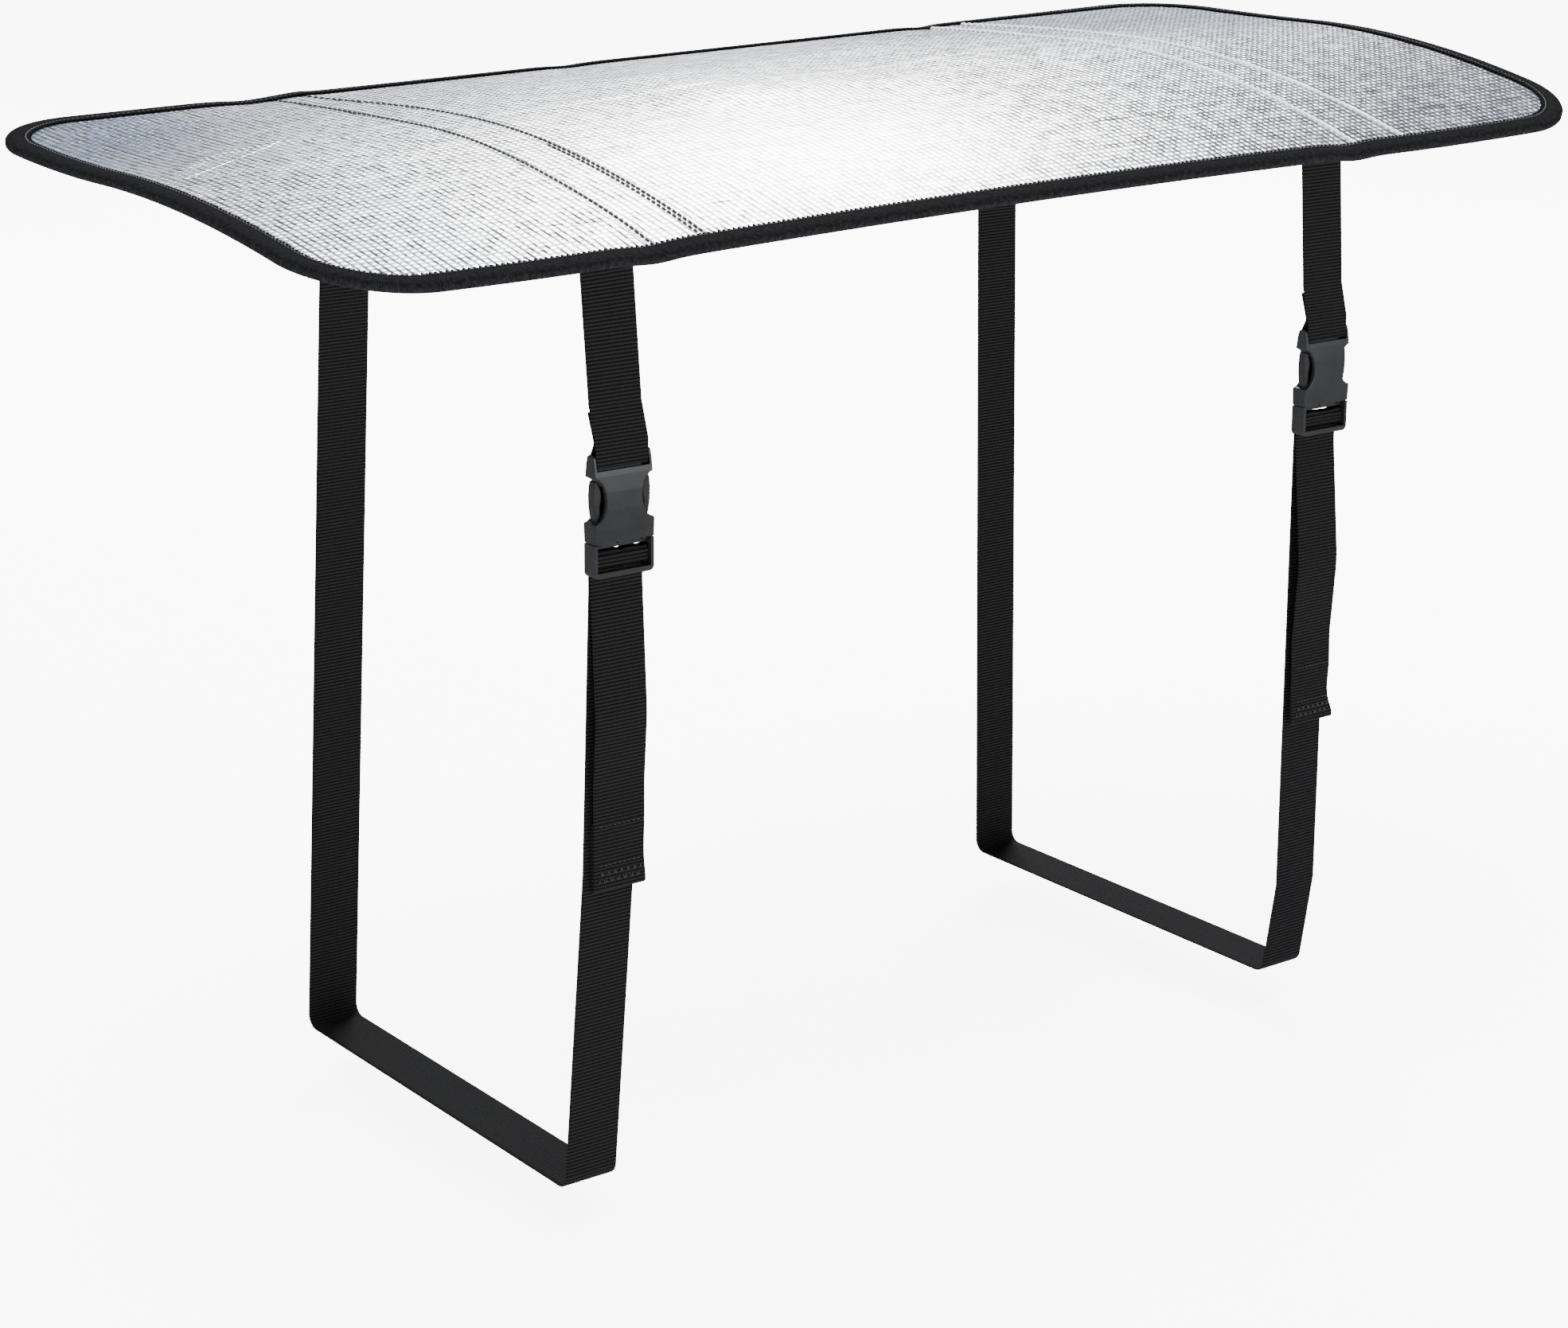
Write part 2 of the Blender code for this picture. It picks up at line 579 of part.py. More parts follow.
def plug_mesh(guides):
    """Plug: a deep ladder frame with end bar, centre bar and set-back crossbar, two prongs and a guide."""
    half = BUCKLE_HALF_WIDTH
    foot = arc((half - LADDER_FOOT, LADDER_FOOT), (LADDER_FOOT, LADDER_FOOT), 270.0, 360.0, 5)
    frame = outline_solid("plug_frame", mirrored(foot + [(half, PLUG_TOP)]), LADDER_HALF_DEPTH, guides)
    round_edges(frame, BAR_ROUNDING, 2)
    opening = box_solid("plug_opening", (-SLOT_HALF_WIDTH, -THROUGH, LADDER_FOOT),
                        (SLOT_HALF_WIDTH, THROUGH, INNER_SLOT_TOP), guides)
    combine(frame, opening, "DIFFERENCE")
    tail_way = box_solid("plug_tail_way", (-SLOT_HALF_WIDTH, END_BAR_BACK, -THROUGH),
                         (SLOT_HALF_WIDTH, THROUGH, LADDER_FOOT + MERGE), guides)
    combine(frame, tail_way, "DIFFERENCE")
    recess = box_solid("plug_recess", (-SLOT_HALF_WIDTH, -THROUGH, INNER_SLOT_TOP - MERGE),
                       (SLOT_HALF_WIDTH, CROSSBAR_FRONT, PLUG_TOP + THROUGH), guides)
    combine(frame, recess, "DIFFERENCE")
    bar = box_solid("centre_bar", (-SLOT_HALF_WIDTH - BAR_ROUNDING, -BAR_HALF_DEPTH, OUTER_SLOT_TOP),
                    (SLOT_HALF_WIDTH + BAR_ROUNDING, BAR_HALF_DEPTH, CENTRE_BAR_TOP), guides)
    combine(frame, bar, "UNION")
    rooted = PRONG_ROOT_HEIGHT
    profile = [(PRONG_ROOT_OUTER, rooted)] + PRONG_OUTER + PRONG_INNER + [(PRONG_ROOT_INNER, rooted)]
    for name, sign in (("right", 1.0), ("left", -1.0)):
        prong = outline_solid("prong_" + name, [(sign * x, z) for x, z in profile], PRONG_HALF_DEPTH, guides)
        round_edges(prong, BAR_ROUNDING, 1)
        combine(frame, prong, "UNION")
    guide = box_solid("plug_guide", (-GUIDE_HALF_WIDTH, -GUIDE_HALF_WIDTH, rooted),
                      (GUIDE_HALF_WIDTH, GUIDE_HALF_WIDTH, GUIDE_TOP), guides)
    combine(frame, guide, "UNION")
    return finished_mesh(frame, "plug")


def build():
    """Makes the cover."""
    clear_scene()
    parts = make_collection("air_conditioner_cover")
    guides = make_collection("guides")
    make_sheet(parts)
    make_binding(parts)
    webbing = make_material("webbing")
    plastic = make_material("buckle_plastic")
    socket = socket_mesh(guides)
    plug = plug_mesh(guides)
    for side, strap in STRAPS.items():
        make_strap(side, strap, parts, webbing)
        for kind, mesh in (("socket", socket), ("plug", plug)):
            piece = add_object(kind + "_" + side, mesh, parts, plastic)
            piece.location = buckle_place(strap)


build()
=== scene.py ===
"""Looks of an air conditioner cover: an arched sheet of foil over thin foam with a taped edge,
sewn to two webbings that close with side-release buckles.

Metres, +X along the sheet to the right, +Y towards the back, +Z up, as in the CAD model.
"""

import bmesh
import bpy
import numpy as np
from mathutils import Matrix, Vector


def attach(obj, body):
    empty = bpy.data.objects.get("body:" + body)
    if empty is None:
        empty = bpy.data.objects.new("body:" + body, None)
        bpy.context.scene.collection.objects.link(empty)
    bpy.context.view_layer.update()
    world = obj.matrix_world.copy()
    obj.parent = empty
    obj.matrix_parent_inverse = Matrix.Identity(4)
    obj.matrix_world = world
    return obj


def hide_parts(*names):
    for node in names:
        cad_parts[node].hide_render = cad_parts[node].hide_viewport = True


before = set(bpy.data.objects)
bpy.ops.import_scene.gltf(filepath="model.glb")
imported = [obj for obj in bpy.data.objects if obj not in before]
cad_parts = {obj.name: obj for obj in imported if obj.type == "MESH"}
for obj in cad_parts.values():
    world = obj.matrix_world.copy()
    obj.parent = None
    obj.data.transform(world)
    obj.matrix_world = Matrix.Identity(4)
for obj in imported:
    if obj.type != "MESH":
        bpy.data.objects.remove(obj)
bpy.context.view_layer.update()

# Sheet, as the part lays it: its outline seen from above and how its top falls from the crown
SHEET_LENGTH = 0.934
EDGE_FRONT = -0.2515
EDGE_BACK = 0.1640
CORNER_RADIUS = 0.060
SHEET_THICKNESS = 0.003
# Each height along the sheet is centre + slope * s + bow * s * s, with s from -1 to 1
CROWN_HEIGHT = (0.0030, 0.0152, -0.0136)
FRONT_FALL = (0.0418, 0.0056, -0.0056)
BACK_FALL = (0.0073, 0.0036, -0.0150)
FALL_POWER = 1.9
FRONT_CORNER_LIFT = 0.0074
CORNER_LIFT_START = 0.55
REST_FLAT = (0.055, 0.036)
REST_FADED = (0.140, 0.085)
# Where the taped edge dips between its stitches: x, edge, rise and reach along the edge
EDGE_WAVES = [
    (-0.277, EDGE_FRONT, -0.0013, 0.015), (0.243, EDGE_FRONT, -0.0015, 0.015),
    (-0.292, EDGE_BACK, -0.0014, 0.018), (-0.256, EDGE_BACK, 0.0006, 0.010),
    (0.236, EDGE_BACK, -0.0011, 0.012), (-0.060, EDGE_BACK, -0.0008, 0.014),
]
WAVE_DEPTH = 0.024

# Edge tape folded over the sheet's edge, seen in section
TAPE_LEG = 0.012
TAPE_THICKNESS = 0.001
TAPE_GAP = 0.0004
TAPE_END_GAP = 0.0005
TAPE_SCALLOP = 0.0033
TAPE_BITE = 0.0026
TAPE_PUCKER = 0.0004
TAPE_THREAD = 0.00042
TAPE_STEP = 0.0009
TAPE_ROW_INSET = 0.0020
TAPE_ROW_DROP = 0.00025

# Webbing and the loops that it makes
WEB_WIDTH = 0.0345
WEB_THICKNESS = 0.0015
WEB_SHEET_GAP = 0.0005
WEB_LAYER_GAP = 0.0004
WEB_STAND_OFF = 0.00225
LOOP_FRONT = -0.183
LOOP_BACK = 0.1046
LOOP_BOTTOM = -0.591
FACE_BEND = 0.011
FOOT_BEND = 0.008
WRAP_BEND = 0.0015
SHEET_TILT_FADE = 0.090

# Buckle, in its own frame: z up from the foot of the ladder, y from its front to its back
BAR_HALF_DEPTH = 0.0015
LADDER_FOOT = 0.0032
OUTER_SLOT_TOP = 0.0080
CENTRE_BAR_TOP = 0.0110
INNER_SLOT_TOP = 0.0160
LOOP_SLOT_TOP = 0.0628
LOOP_BAR_TOP = 0.0662
LOOP_HALF_DEPTH = 0.00175
LOAD_RUN_Y = 0.0049

# Webbing at the buckle: its sewn-back end, its way through the ladder and its hem
SEWN_BACK_LENGTH = 0.027
SEWN_BACK_START = 0.009
SEWN_BACK_CLEAR = 0.006
SEWN_BACK_LEAN = 0.85
LADDER_WEB_GAP = 0.0006
INNER_PASS_RISE = 0.0003
OUTER_PASS_DROP = 0.00015
LADDER_APPROACH = 0.010
TAIL_START = 0.008
HEM_LENGTH = 0.040
FACE_TOP_INSET = 0.0070
CLOSING_BEND = 0.003
PASS_BENDS = (0.0040, 0.0026, 0.0022, 0.0018)
SOFT_BEND = 0.060
TAIL_BEND = 0.100
TAIL_BOW_PLACE = 0.45
TAIL_END_BOW = 0.4
TAIL_DRIFT = (-0.1, 0.3)
HEM_APPROACH = 0.020
SEWN_STATIONS = 24
FLARE_LENGTH = 0.008
ROUTE_STEP = 0.0021

STRAPS = {
    "left": {
        "front_edge_x": -0.2545, "back_edge_x": -0.2525, "face_x": -0.2677, "buckle_x": -0.2592,
        "lean": -0.0047, "buckle_z": -0.2350, "low_x": -0.2640, "low_z": -0.4080, "foot_x": -0.2767,
        "tail_x": -0.2593, "tail_length": 0.1825, "tail_bow": 0.0045,
        "tail_flare": 0.0008,
    },
    "right": {
        "front_edge_x": 0.2740, "back_edge_x": 0.2635, "face_x": 0.2755, "buckle_x": 0.2850,
        "lean": -0.0061, "buckle_z": -0.2275, "low_x": 0.2875, "low_z": -0.5350, "foot_x": 0.2785,
        "tail_x": 0.2890, "tail_length": 0.1945, "tail_bow": 0.0085,
        "tail_flare": 0.0030,
    },
}

# Half of the webbing's section, from its middle to its selvedge: across and how thick it is there
WEB_SECTION = [
    (0.0, 1.0), (0.08, 1.0), (0.16, 1.0), (0.24, 1.0), (0.32, 1.0), (0.40, 1.0), (0.48, 1.0), (0.57, 1.0),
    (0.72, 1.0), (0.88, 1.0), (0.95, 0.96), (0.985, 0.75), (1.0, 0.35),
]

# Hem of a tail: length and radius of its stitches, and how far above its end the rows and zigzag lie
HEM_STITCH_PITCH = 0.0030
HEM_THREAD = 0.00032
HEM_STITCH_SHARE = 0.8
HEM_MARGIN = 0.003
HEM_TURNS = 14
HEM_ZIGZAG = (0.0120, 0.0035)
HEM_ROWS = (0.0150, 0.0380)

# How the pass over the ladder's centre bar nearly fills its slot but for small gaps: centre, reach, depth
PASS_LIFT = 0.0008
PASS_REACH = (0.0035, 0.0010)
PASS_GAPS = {
    "left": [(-0.0002, 0.0013, 0.0010), (0.0135, 0.0014, 0.0010)],
    "right": [(0.0000, 0.0050, 0.0005), (0.0065, 0.0030, 0.0006)],
}

# Rows of stitches that hold each webbing under the sheet: (y, x) stops that each row wanders through
STITCH_ROWS = {
    "left": [
        [(-0.240, -0.2705), (-0.120, -0.2670), (-0.036, -0.2640), (0.064, -0.2670), (0.150, -0.2755)],
        [(-0.240, -0.2360), (-0.120, -0.2330), (-0.036, -0.2312), (0.060, -0.2335), (0.150, -0.2560)],
    ],
    "right": [
        [(-0.240, 0.2530), (-0.060, 0.2525), (0.029, 0.2405), (0.090, 0.2370), (0.150, 0.2380)],
        [(-0.240, 0.2960), (-0.200, 0.2955), (-0.040, 0.2890), (0.050, 0.2830), (0.150, 0.2650)],
    ],
}
STITCH_PITCH = 0.0050
# On each side: how deep and wide the stitches sink the foil, the width and share of the embossing that they
# flatten, and the thread's radius and length of stitch; on the right the thick white thread is a painted
# highlight of the stitched furrows
STITCHING = {
    "left": {
        "depth": 0.0008, "width": 0.0012, "flat": 0.0008, "share": 0.4, "thread": 0.00075, "stitch": 0.0038,
    },
    "right": {
        "depth": 0.0006, "width": 0.0018, "flat": 0.0022, "share": 1.0, "thread": 0.00115, "stitch": 0.0054,
    },
}
# Rows sewn twice near the front: which row, how far beside it and up to which depth
DOUBLED_ROWS = {"left": [(1, -0.0034, -0.085)], "right": []}
# A fainter groove beside each left row: how far beside it, its width and its depth
ECHO_PLACE = -0.0034
ECHO_WIDTH = 0.0011
ECHO_DEPTH = 0.0005
# Where the thread of a row starts inside the tape, and the share of the groove's depth at which it lies
ROW_INSET = 0.001
THREAD_SINK = 0.75
HEADING_STEP = 0.001

# Grid of the sheet: finely beside a row and under the tape, coarsely elsewhere, drawn in at the ends
ROW_MARGIN = 0.007
ROW_STEP = 0.0007
SHEET_STEP = 0.0045
TAPED_STEP = 0.0012
OPEN_STEP = 0.0030
CORNER_PULL_START = 0.30
SLOPE_STEP = 0.0005

# Embossing of the foil
EMBOSS_PITCH = 0.0048
EMBOSS_DEPTH = 0.00045
SHALLOW_PLACE = (-0.10, -0.16)
SHALLOW_REACH = (0.19, 0.13)
SHALLOW_SHARE = 0.62
DEEP_START = -0.05
DEEP_REACH = 0.30
DEEP_SHARE = 0.42
FOIL_WANDER = 0.0016
# The foil's colour, its painted dull bluish reflection towards the ends and back, and the painted shade of
# its lattice lines and creases
FOIL_BRIGHT = (0.96, 0.965, 0.975, 1.0)
FOIL_PAINTED_DULL_REFLECTION = (0.22, 0.265, 0.345, 1.0)
FOIL_PAINTED_SHADE = (0.030, 0.034, 0.043, 1.0)
# Where the foil's colour is painted darker and bluer, a painted dull reflection: start, reach and share
# towards the right, the left and the back
PAINTED_DULL_SIDES = [(0.10, 0.30, 0.52), (0.28, 0.16, 0.52), (-0.06, 0.18, 0.60)]
# Straight creases where the foil was folded, with painted shade along the first list and painted highlights
# along the second: x and y of one end and of the other
PAINTED_SHADE_CREASES = [
    (0.322, -0.2025, 0.439, -0.2085), (0.318, -0.1690, 0.366, -0.1720), (0.090, -0.1680, 0.176, -0.1660),
    (-0.312, -0.1975, -0.279, -0.2025), (-0.215, -0.2015, -0.186, -0.2045),
]
PAINTED_HIGHLIGHT_CREASES = [
    (-0.437, -0.0355, -0.390, -0.0060), (-0.392, -0.0070, -0.342, 0.0260), (-0.346, 0.0265, -0.262, 0.0180),
    (-0.230, 0.0020, -0.060, -0.0080), (0.020, -0.0100, 0.210, 0.0100),
]
CREASE_HALF_WIDTH = 0.0012

# Soft folds: x from, x to, y at the middle, bow and tilt over that run, height, width
FOLDS = [
    (-0.225, 0.200, -0.012, 0.030, 0.00, 0.00045, 0.0045),
    (-0.170, 0.205, -0.038, 0.016, 0.00, 0.00040, 0.0040),
    (-0.230, 0.180, 0.060, 0.020, 0.00, 0.00035, 0.0050),
    (-0.200, 0.190, -0.084, 0.018, 0.00, 0.00030, 0.0050),
    (-0.440, -0.285, 0.018, -0.045, 0.04, 0.00080, 0.0050),
]

# Pitches of the weaves and of the thread's twist
TAPE_RIB = 0.0012
TAPE_YARN = 0.0008
WEB_RIB = 0.0021
WEB_YARN = 0.0016
THREAD_PLY = 0.0007

# Soft panels: where they stand, their size and their power
PANELS = [
    ("glare_panel", (2.09, 2.24, 2.57), (1.6, 2.2), 260.0),
    ("face_panel", (0.95, -2.00, 0.10), (1.2, 0.7), 25.0),
]
CEILING_PLACE = (-0.5, -0.2, 3.0)
CEILING_POWER = 7.5
CEILING_SPREAD = 50.0
SURROUND_COLOUR = (0.74, 0.83, 1.0, 1.0)
SURROUND_STRENGTH = 0.48
FLOOR_HALF = 30.0
FLOOR_LEVEL = -0.622
FLOOR_GLOW = 6.5

# The photograph's place and lens, in metres, radians and millimetres
CAMERA_PLACE = (-1.27402, -1.66936, 0.25731)
CAMERA_TURN = (1.331237, -0.008604, -0.649510)
CAMERA_SENSOR = 36.0
CAMERA_LENS = 77.785
CAMERA_SHIFT = -0.1190


class Wire:
    """An output socket on which sums, products and powers add their Math nodes."""

    def __init__(self, finish, socket):
        self.finish = finish
        self.socket = socket

    def maths(self, operation, *values):
        """Adds a Math node that works on the given values."""
        return self.finish.node("ShaderNodeMath", {"operation": operation}, dict(enumerate(values)))

    def __add__(self, other):
        return self.maths("ADD", self, other)

    __radd__ = __add__

    def __mul__(self, other):
        return self.maths("MULTIPLY", self, other)

    __rmul__ = __mul__

    def __sub__(self, other):
        return self.maths("SUBTRACT", self, other)

    def __rsub__(self, other):
        return self.maths("SUBTRACT", other, self)

    def __truediv__(self, other):
        return self.maths("DIVIDE", self, other)

    def __pow__(self, other):
        return self.maths("POWER", self, other)

    def __abs__(self):
        return self.maths("ABSOLUTE", self)

    def sine(self):
        """Its sine, of an angle in radians."""
        return self.maths("SINE", self)

    def at_least(self, low):
        """The larger of it and a number."""
        return self.maths("MAXIMUM", self, low)

    def at_most(self, high):
        """The smaller of it and a number."""
        return self.maths("MINIMUM", self, high)


class Finish:
    """A material built node by node onto its Principled shader."""

    def __init__(self, name):
        self.material = bpy.data.materials.new(name)
        self.material.use_nodes = True
        self.tree = self.material.node_tree
        self.shader = self.tree.nodes["Principled BSDF"]

    def node(self, kind, settings=None, inputs=None, output=0):
        """Adds a node, its settings first and then its sockets, and gives one of its outputs."""
        added = self.tree.nodes.new(kind)
        for name, value in (settings or {}).items():
            if name == "stops":
                self.set_stops(added.color_ramp, value)
            else:
                setattr(added, name, value)
        for key, value in (inputs or {}).items():
            self.feed(added.inputs[key], value)
        return Wire(self, added.outputs[output])

    def set_stops(self, ramp, stops):
        """Gives a ramp its places and grey levels."""
        while len(ramp.elements) < len(stops):
            ramp.elements.new(1.0)
        for element, (place, level) in zip(ramp.elements, stops):
            element.position = place
            element.color = grey(level)

    def feed(self, socket, value):
        """Sets a socket to a value, or links it."""
        if isinstance(value, Wire):
            self.tree.links.new(value.socket, socket)
        else:
            socket.default_value = value

    def set(self, **sockets):
        """Feeds sockets of the shader, named with underscores for spaces."""
        for name, value in sockets.items():
            self.feed(self.shader.inputs[name.replace("_", " ")], value)

    def uv(self):
        """The piece's own map, in metres along its cloth: across, along."""
        mapped = self.node("ShaderNodeUVMap", {"uv_map": "cloth"})
        parts = self.node("ShaderNodeSeparateXYZ", {}, {0: mapped})
        return parts, Wire(self, parts.socket.node.outputs[1]), mapped

    def own_level(self, kind):
        """A level that the piece carries at its points."""
        return self.node("ShaderNodeAttribute", {"attribute_name": kind}, output="Fac")

    def place(self):
        """Object coordinates."""
        return self.node("ShaderNodeTexCoord", output="Object")

    def noise(self, where, scale, detail, roughness=0.5):
        """A soft random pattern from 0 to 1, its scale in lumps a metre."""
        inputs = {"Vector": where, "Scale": scale, "Detail": detail, "Roughness": roughness}
        return self.node("ShaderNodeTexNoise", {}, inputs)

    def cells(self, where, scale):
        """A random level for each square of a grid, its scale in squares a metre."""
        grid = self.node("ShaderNodeVectorMath", {"operation": "SCALE"}, {0: where, "Scale": scale})
        corner = self.node("ShaderNodeVectorMath", {"operation": "FLOOR"}, {0: grid})
        return self.node("ShaderNodeTexWhiteNoise", {"noise_dimensions": "2D"}, {"Vector": corner})

    def level(self, value, stops):
        """Maps a value through a ramp of grey levels."""
        return self.node("ShaderNodeValToRGB", {"stops": stops}, {0: value})

    def mix(self, share, first, second):
        """A colour between two colours."""
        return self.node("ShaderNodeMix", {"data_type": "RGBA"}, {0: share, 6: first, 7: second}, 2)

    def stretched(self, where, by):
        """Coordinates multiplied axis by axis."""
        return self.node("ShaderNodeVectorMath", {"operation": "MULTIPLY"}, {0: where, 1: by})

    def bump(self, height, depth, under=None):
        """A normal tilted by a height from 0 to 1 that stands for a depth in metres."""
        inputs = {"Height": height, "Distance": depth, "Strength": 1.0}
        if under is not None:
            inputs["Normal"] = under
        return self.node("ShaderNodeBump", {}, inputs)


def grey(level):
    """A neutral colour."""
    return (level, level, level, 1.0)


def crease_lines(finish, across, along, creases):
    """A level that is 1 along each straight crease and 0 beside it."""
    total = 0.0
    for x, y, end_x, end_y in creases:
        slope = (end_y - y) / (end_x - x)
        off = abs(along - (across - x) * slope - y) / CREASE_HALF_WIDTH
        way = (across - x) / (end_x - x)
        inside = finish.level(way, [(0.0, 0.0), (0.06, 1.0), (0.94, 1.0), (1.0, 0.0)])
        total = inside * (1.0 - off).at_least(0.0) + total
    return total.at_most(1.0)


def foil_finish():
    """Silver foil embossed into a square lattice of small cushions. Its colour carries painted shade: dark in
    the lattice's lines that run front to back, fainter in those along the sheet, at random cushions and along
    shaded creases; painted highlights on the brightest cushions and along lit creases; and a painted dull,
    bluish reflection towards the ends and back."""
    finish = Finish("embossed_foil")
    across, along, mapped = finish.uv()
    wander = finish.noise(mapped, 30.0, 2.0) * FOIL_WANDER
    turn = np.pi / EMBOSS_PITCH
    ridge_across = abs(((across + wander) * turn).sine())
    ridge_along = abs(((along + wander) * turn).sine())
    cushions = (ridge_across * ridge_along) ** 0.5
    lines = finish.level(ridge_across, [(0.30, 1.0), (0.85, 0.0)])
    cross_lines = finish.level(ridge_along, [(0.15, 1.0), (0.75, 0.0)])
    cross_share = (0.35 + 0.9 * across).at_least(0.15)
    # A random level for each cushion: painted shade at random cushions and painted glints at the brightest
    glint = finish.cells(mapped, 1.0 / EMBOSS_PITCH)
    crinkle = finish.noise(mapped, 260.0, 4.0, 0.6)
    ripple = finish.noise(finish.stretched(mapped, (0.30, 1.0, 1.0)), 46.0, 3.0, 0.55)
    rippled = finish.bump(ripple, 0.0011)
    patches = finish.noise(mapped, 7.0, 2.0)
    # Patches where the painted shade of the lattice's lines is weaker
    patchy_lines = finish.level(finish.noise(mapped, 60.0, 4.0, 0.65), [(0.30, 0.50), (0.60, 1.0)])
    # Painted highlights along the lit creases and painted shade along the shaded ones, both broken into
    # dashes
    lit = crease_lines(finish, across, along, PAINTED_HIGHLIGHT_CREASES) * finish.level(glint, [(0.15, 0.2), (0.5, 1.0)])
    dark = crease_lines(finish, across, along, PAINTED_SHADE_CREASES) * finish.level(glint, [(0.2, 0.2), (0.5, 1.0)])
    kept = finish.own_level("relief") * (1.0 - finish.own_level("smoothed") - lit).at_least(0.0)
    broken = (0.75 + 0.5 * glint) * patchy_lines * kept
    groove_painted_shade = ((lines + (cross_share - 0.3 * lines) * cross_lines) * broken).at_most(1.0)
    # Painted shade: in the lattice's lines, at random cushions and along the shaded creases
    painted_shade = (groove_painted_shade + 0.35 * glint * glint * kept + 0.8 * dark).at_most(1.0)
    # Painted glints: the brightest cushions and the lit creases are kept out of the painted dull reflection
    sparkle = finish.level(glint, [(0.60, 1.0), (1.0, 0.30)])
    painted_dimming = finish.own_level("dimmed") * sparkle * (1.0 - lit)
    bright = finish.mix(painted_dimming, FOIL_BRIGHT, FOIL_PAINTED_DULL_REFLECTION)
    finish.set(
        Base_Color=finish.mix(painted_shade, bright, FOIL_PAINTED_SHADE),
        Metallic=0.95 - 0.75 * (groove_painted_shade + 0.8 * dark).at_most(1.0),
        Specular_IOR_Level=0.0,
        Roughness=0.22 + 0.12 * patches + 0.16 * groove_painted_shade,
        Normal=finish.bump(cushions * kept, EMBOSS_DEPTH, finish.bump(crinkle, 0.0004, rippled)),
    )
    return finish.material


def tape_finish():
    """Black woven edge tape with a faint rib across it, flecked; its colour is lighter on the rib crests, a
    painted highlight.
    """
    finish = Finish("black_edge_tape")
    across, along, mapped = finish.uv()
    rib = 0.5 + 0.5 * (along * (2 * np.pi / TAPE_RIB)).sine()
    yarn = 0.5 + 0.5 * (across * (2 * np.pi / TAPE_YARN)).sine()
    fuzz = finish.noise(mapped, 900.0, 2.0)
    fleck = finish.level(finish.noise(mapped, 380.0, 3.0, 0.7), [(0.42, 0.0), (0.72, 1.0)])
    weave_and_painted_highlight = 0.30 * rib + 0.15 * yarn + 0.15 * fuzz + 0.60 * fleck
    # Painted highlight: the colour is lighter where the ribs rise, beside the tape's own flecks
    base = finish.mix(weave_and_painted_highlight.at_most(1.0), (0.0006, 0.0006, 0.0008, 1.0), (0.0100, 0.0100, 0.0112, 1.0))
    finish.set(
        Base_Color=base,
        Roughness=0.70 + 0.2 * fuzz,
        Specular_IOR_Level=0.01,
        Normal=finish.bump(weave_and_painted_highlight, 0.0004),
    )
    return finish.material


def webbing_finish():
    """Black webbing: ribs across every 2 mm, split into yarns; its colour is lighter on the rib crests, a
    painted highlight.
    """
    finish = Finish("black_webbing")
    across, along, mapped = finish.uv()
    rib = (0.5 + 0.5 * (along * (2 * np.pi / WEB_RIB)).sine()) ** 0.6
    sway = (along * (np.pi / WEB_RIB)).sine()
    yarn = 0.5 + 0.5 * (across * (2 * np.pi / WEB_YARN) + 0.5 * sway).sine()
    fuzz = finish.noise(mapped, 700.0, 3.0)
    weave_and_painted_highlight = 0.7 * rib + 0.3 * yarn * rib
    # Painted highlight: the colour is lighter where the ribs rise
    base = finish.mix(weave_and_painted_highlight * (0.6 + 0.4 * fuzz), grey(0.0002), (0.0080, 0.0080, 0.0082, 1.0))
    finish.set(
        Base_Color=base,
        Roughness=0.78 - 0.22 * weave_and_painted_highlight,
        Specular_IOR_Level=0.05,
        Normal=finish.bump(weave_and_painted_highlight + 0.15 * fuzz, 0.00045),
    )
    return finish.material


def plastic_finish():
    """Satin black moulded plastic with a fine grain."""
    finish = Finish("satin_black_plastic")
    where = finish.place()
    grain = finish.noise(where, 2600.0, 2.0)
    smear = finish.noise(where, 60.0, 2.0)
    finish.set(
        Base_Color=finish.mix(smear, (0.004, 0.004, 0.004, 1.0), (0.007, 0.007, 0.007, 1.0)),
        Roughness=0.27 + 0.14 * smear,
        Specular_IOR_Level=0.30,
        Normal=finish.bump(grain, 0.00003),
    )
    return finish.material


def thread_finish(name, dark, light, sheen=0.0):
    """Twisted sewing thread, its colour lighter on each ply's crest: a painted highlight."""
    finish = Finish(name)
    across, along, _ = finish.uv()
    ply = 0.5 + 0.5 * ((along + 0.35 * across) * (2 * np.pi / THREAD_PLY)).sine()
    # Painted highlight: the colour is lighter where each ply rises
    finish.set(Base_Color=finish.mix(ply, dark, light), Roughness=0.55, Sheen_Weight=sheen,
               Sheen_Roughness=0.4, Normal=finish.bump(ply, 0.0001))
    return finish.material


def floor_finish():
    """Plain pale floor."""
    finish = Finish("pale_floor")
    speck = finish.noise(finish.place(), 3.0, 2.0)
    finish.set(Base_Color=finish.mix(speck, grey(0.86), grey(0.88)), Roughness=0.9, Specular_IOR_Level=0.0,
               Emission_Color=grey(1.0), Emission_Strength=FLOOR_GLOW)
    return finish.material


def smoothstep(t):
    """Eases from 0 to 1 between t = 0 and t = 1."""
    t = np.clip(t, 0.0, 1.0)
    return t * t * (3.0 - 2.0 * t)


def unit(vectors):
    """Vectors at length 1."""
    return vectors / np.linalg.norm(vectors, axis=-1, keepdims=True)


def along_sheet(row, s):
    """A height that bends along the sheet's length."""
    return row[0] + row[1] * s + row[2] * s * s


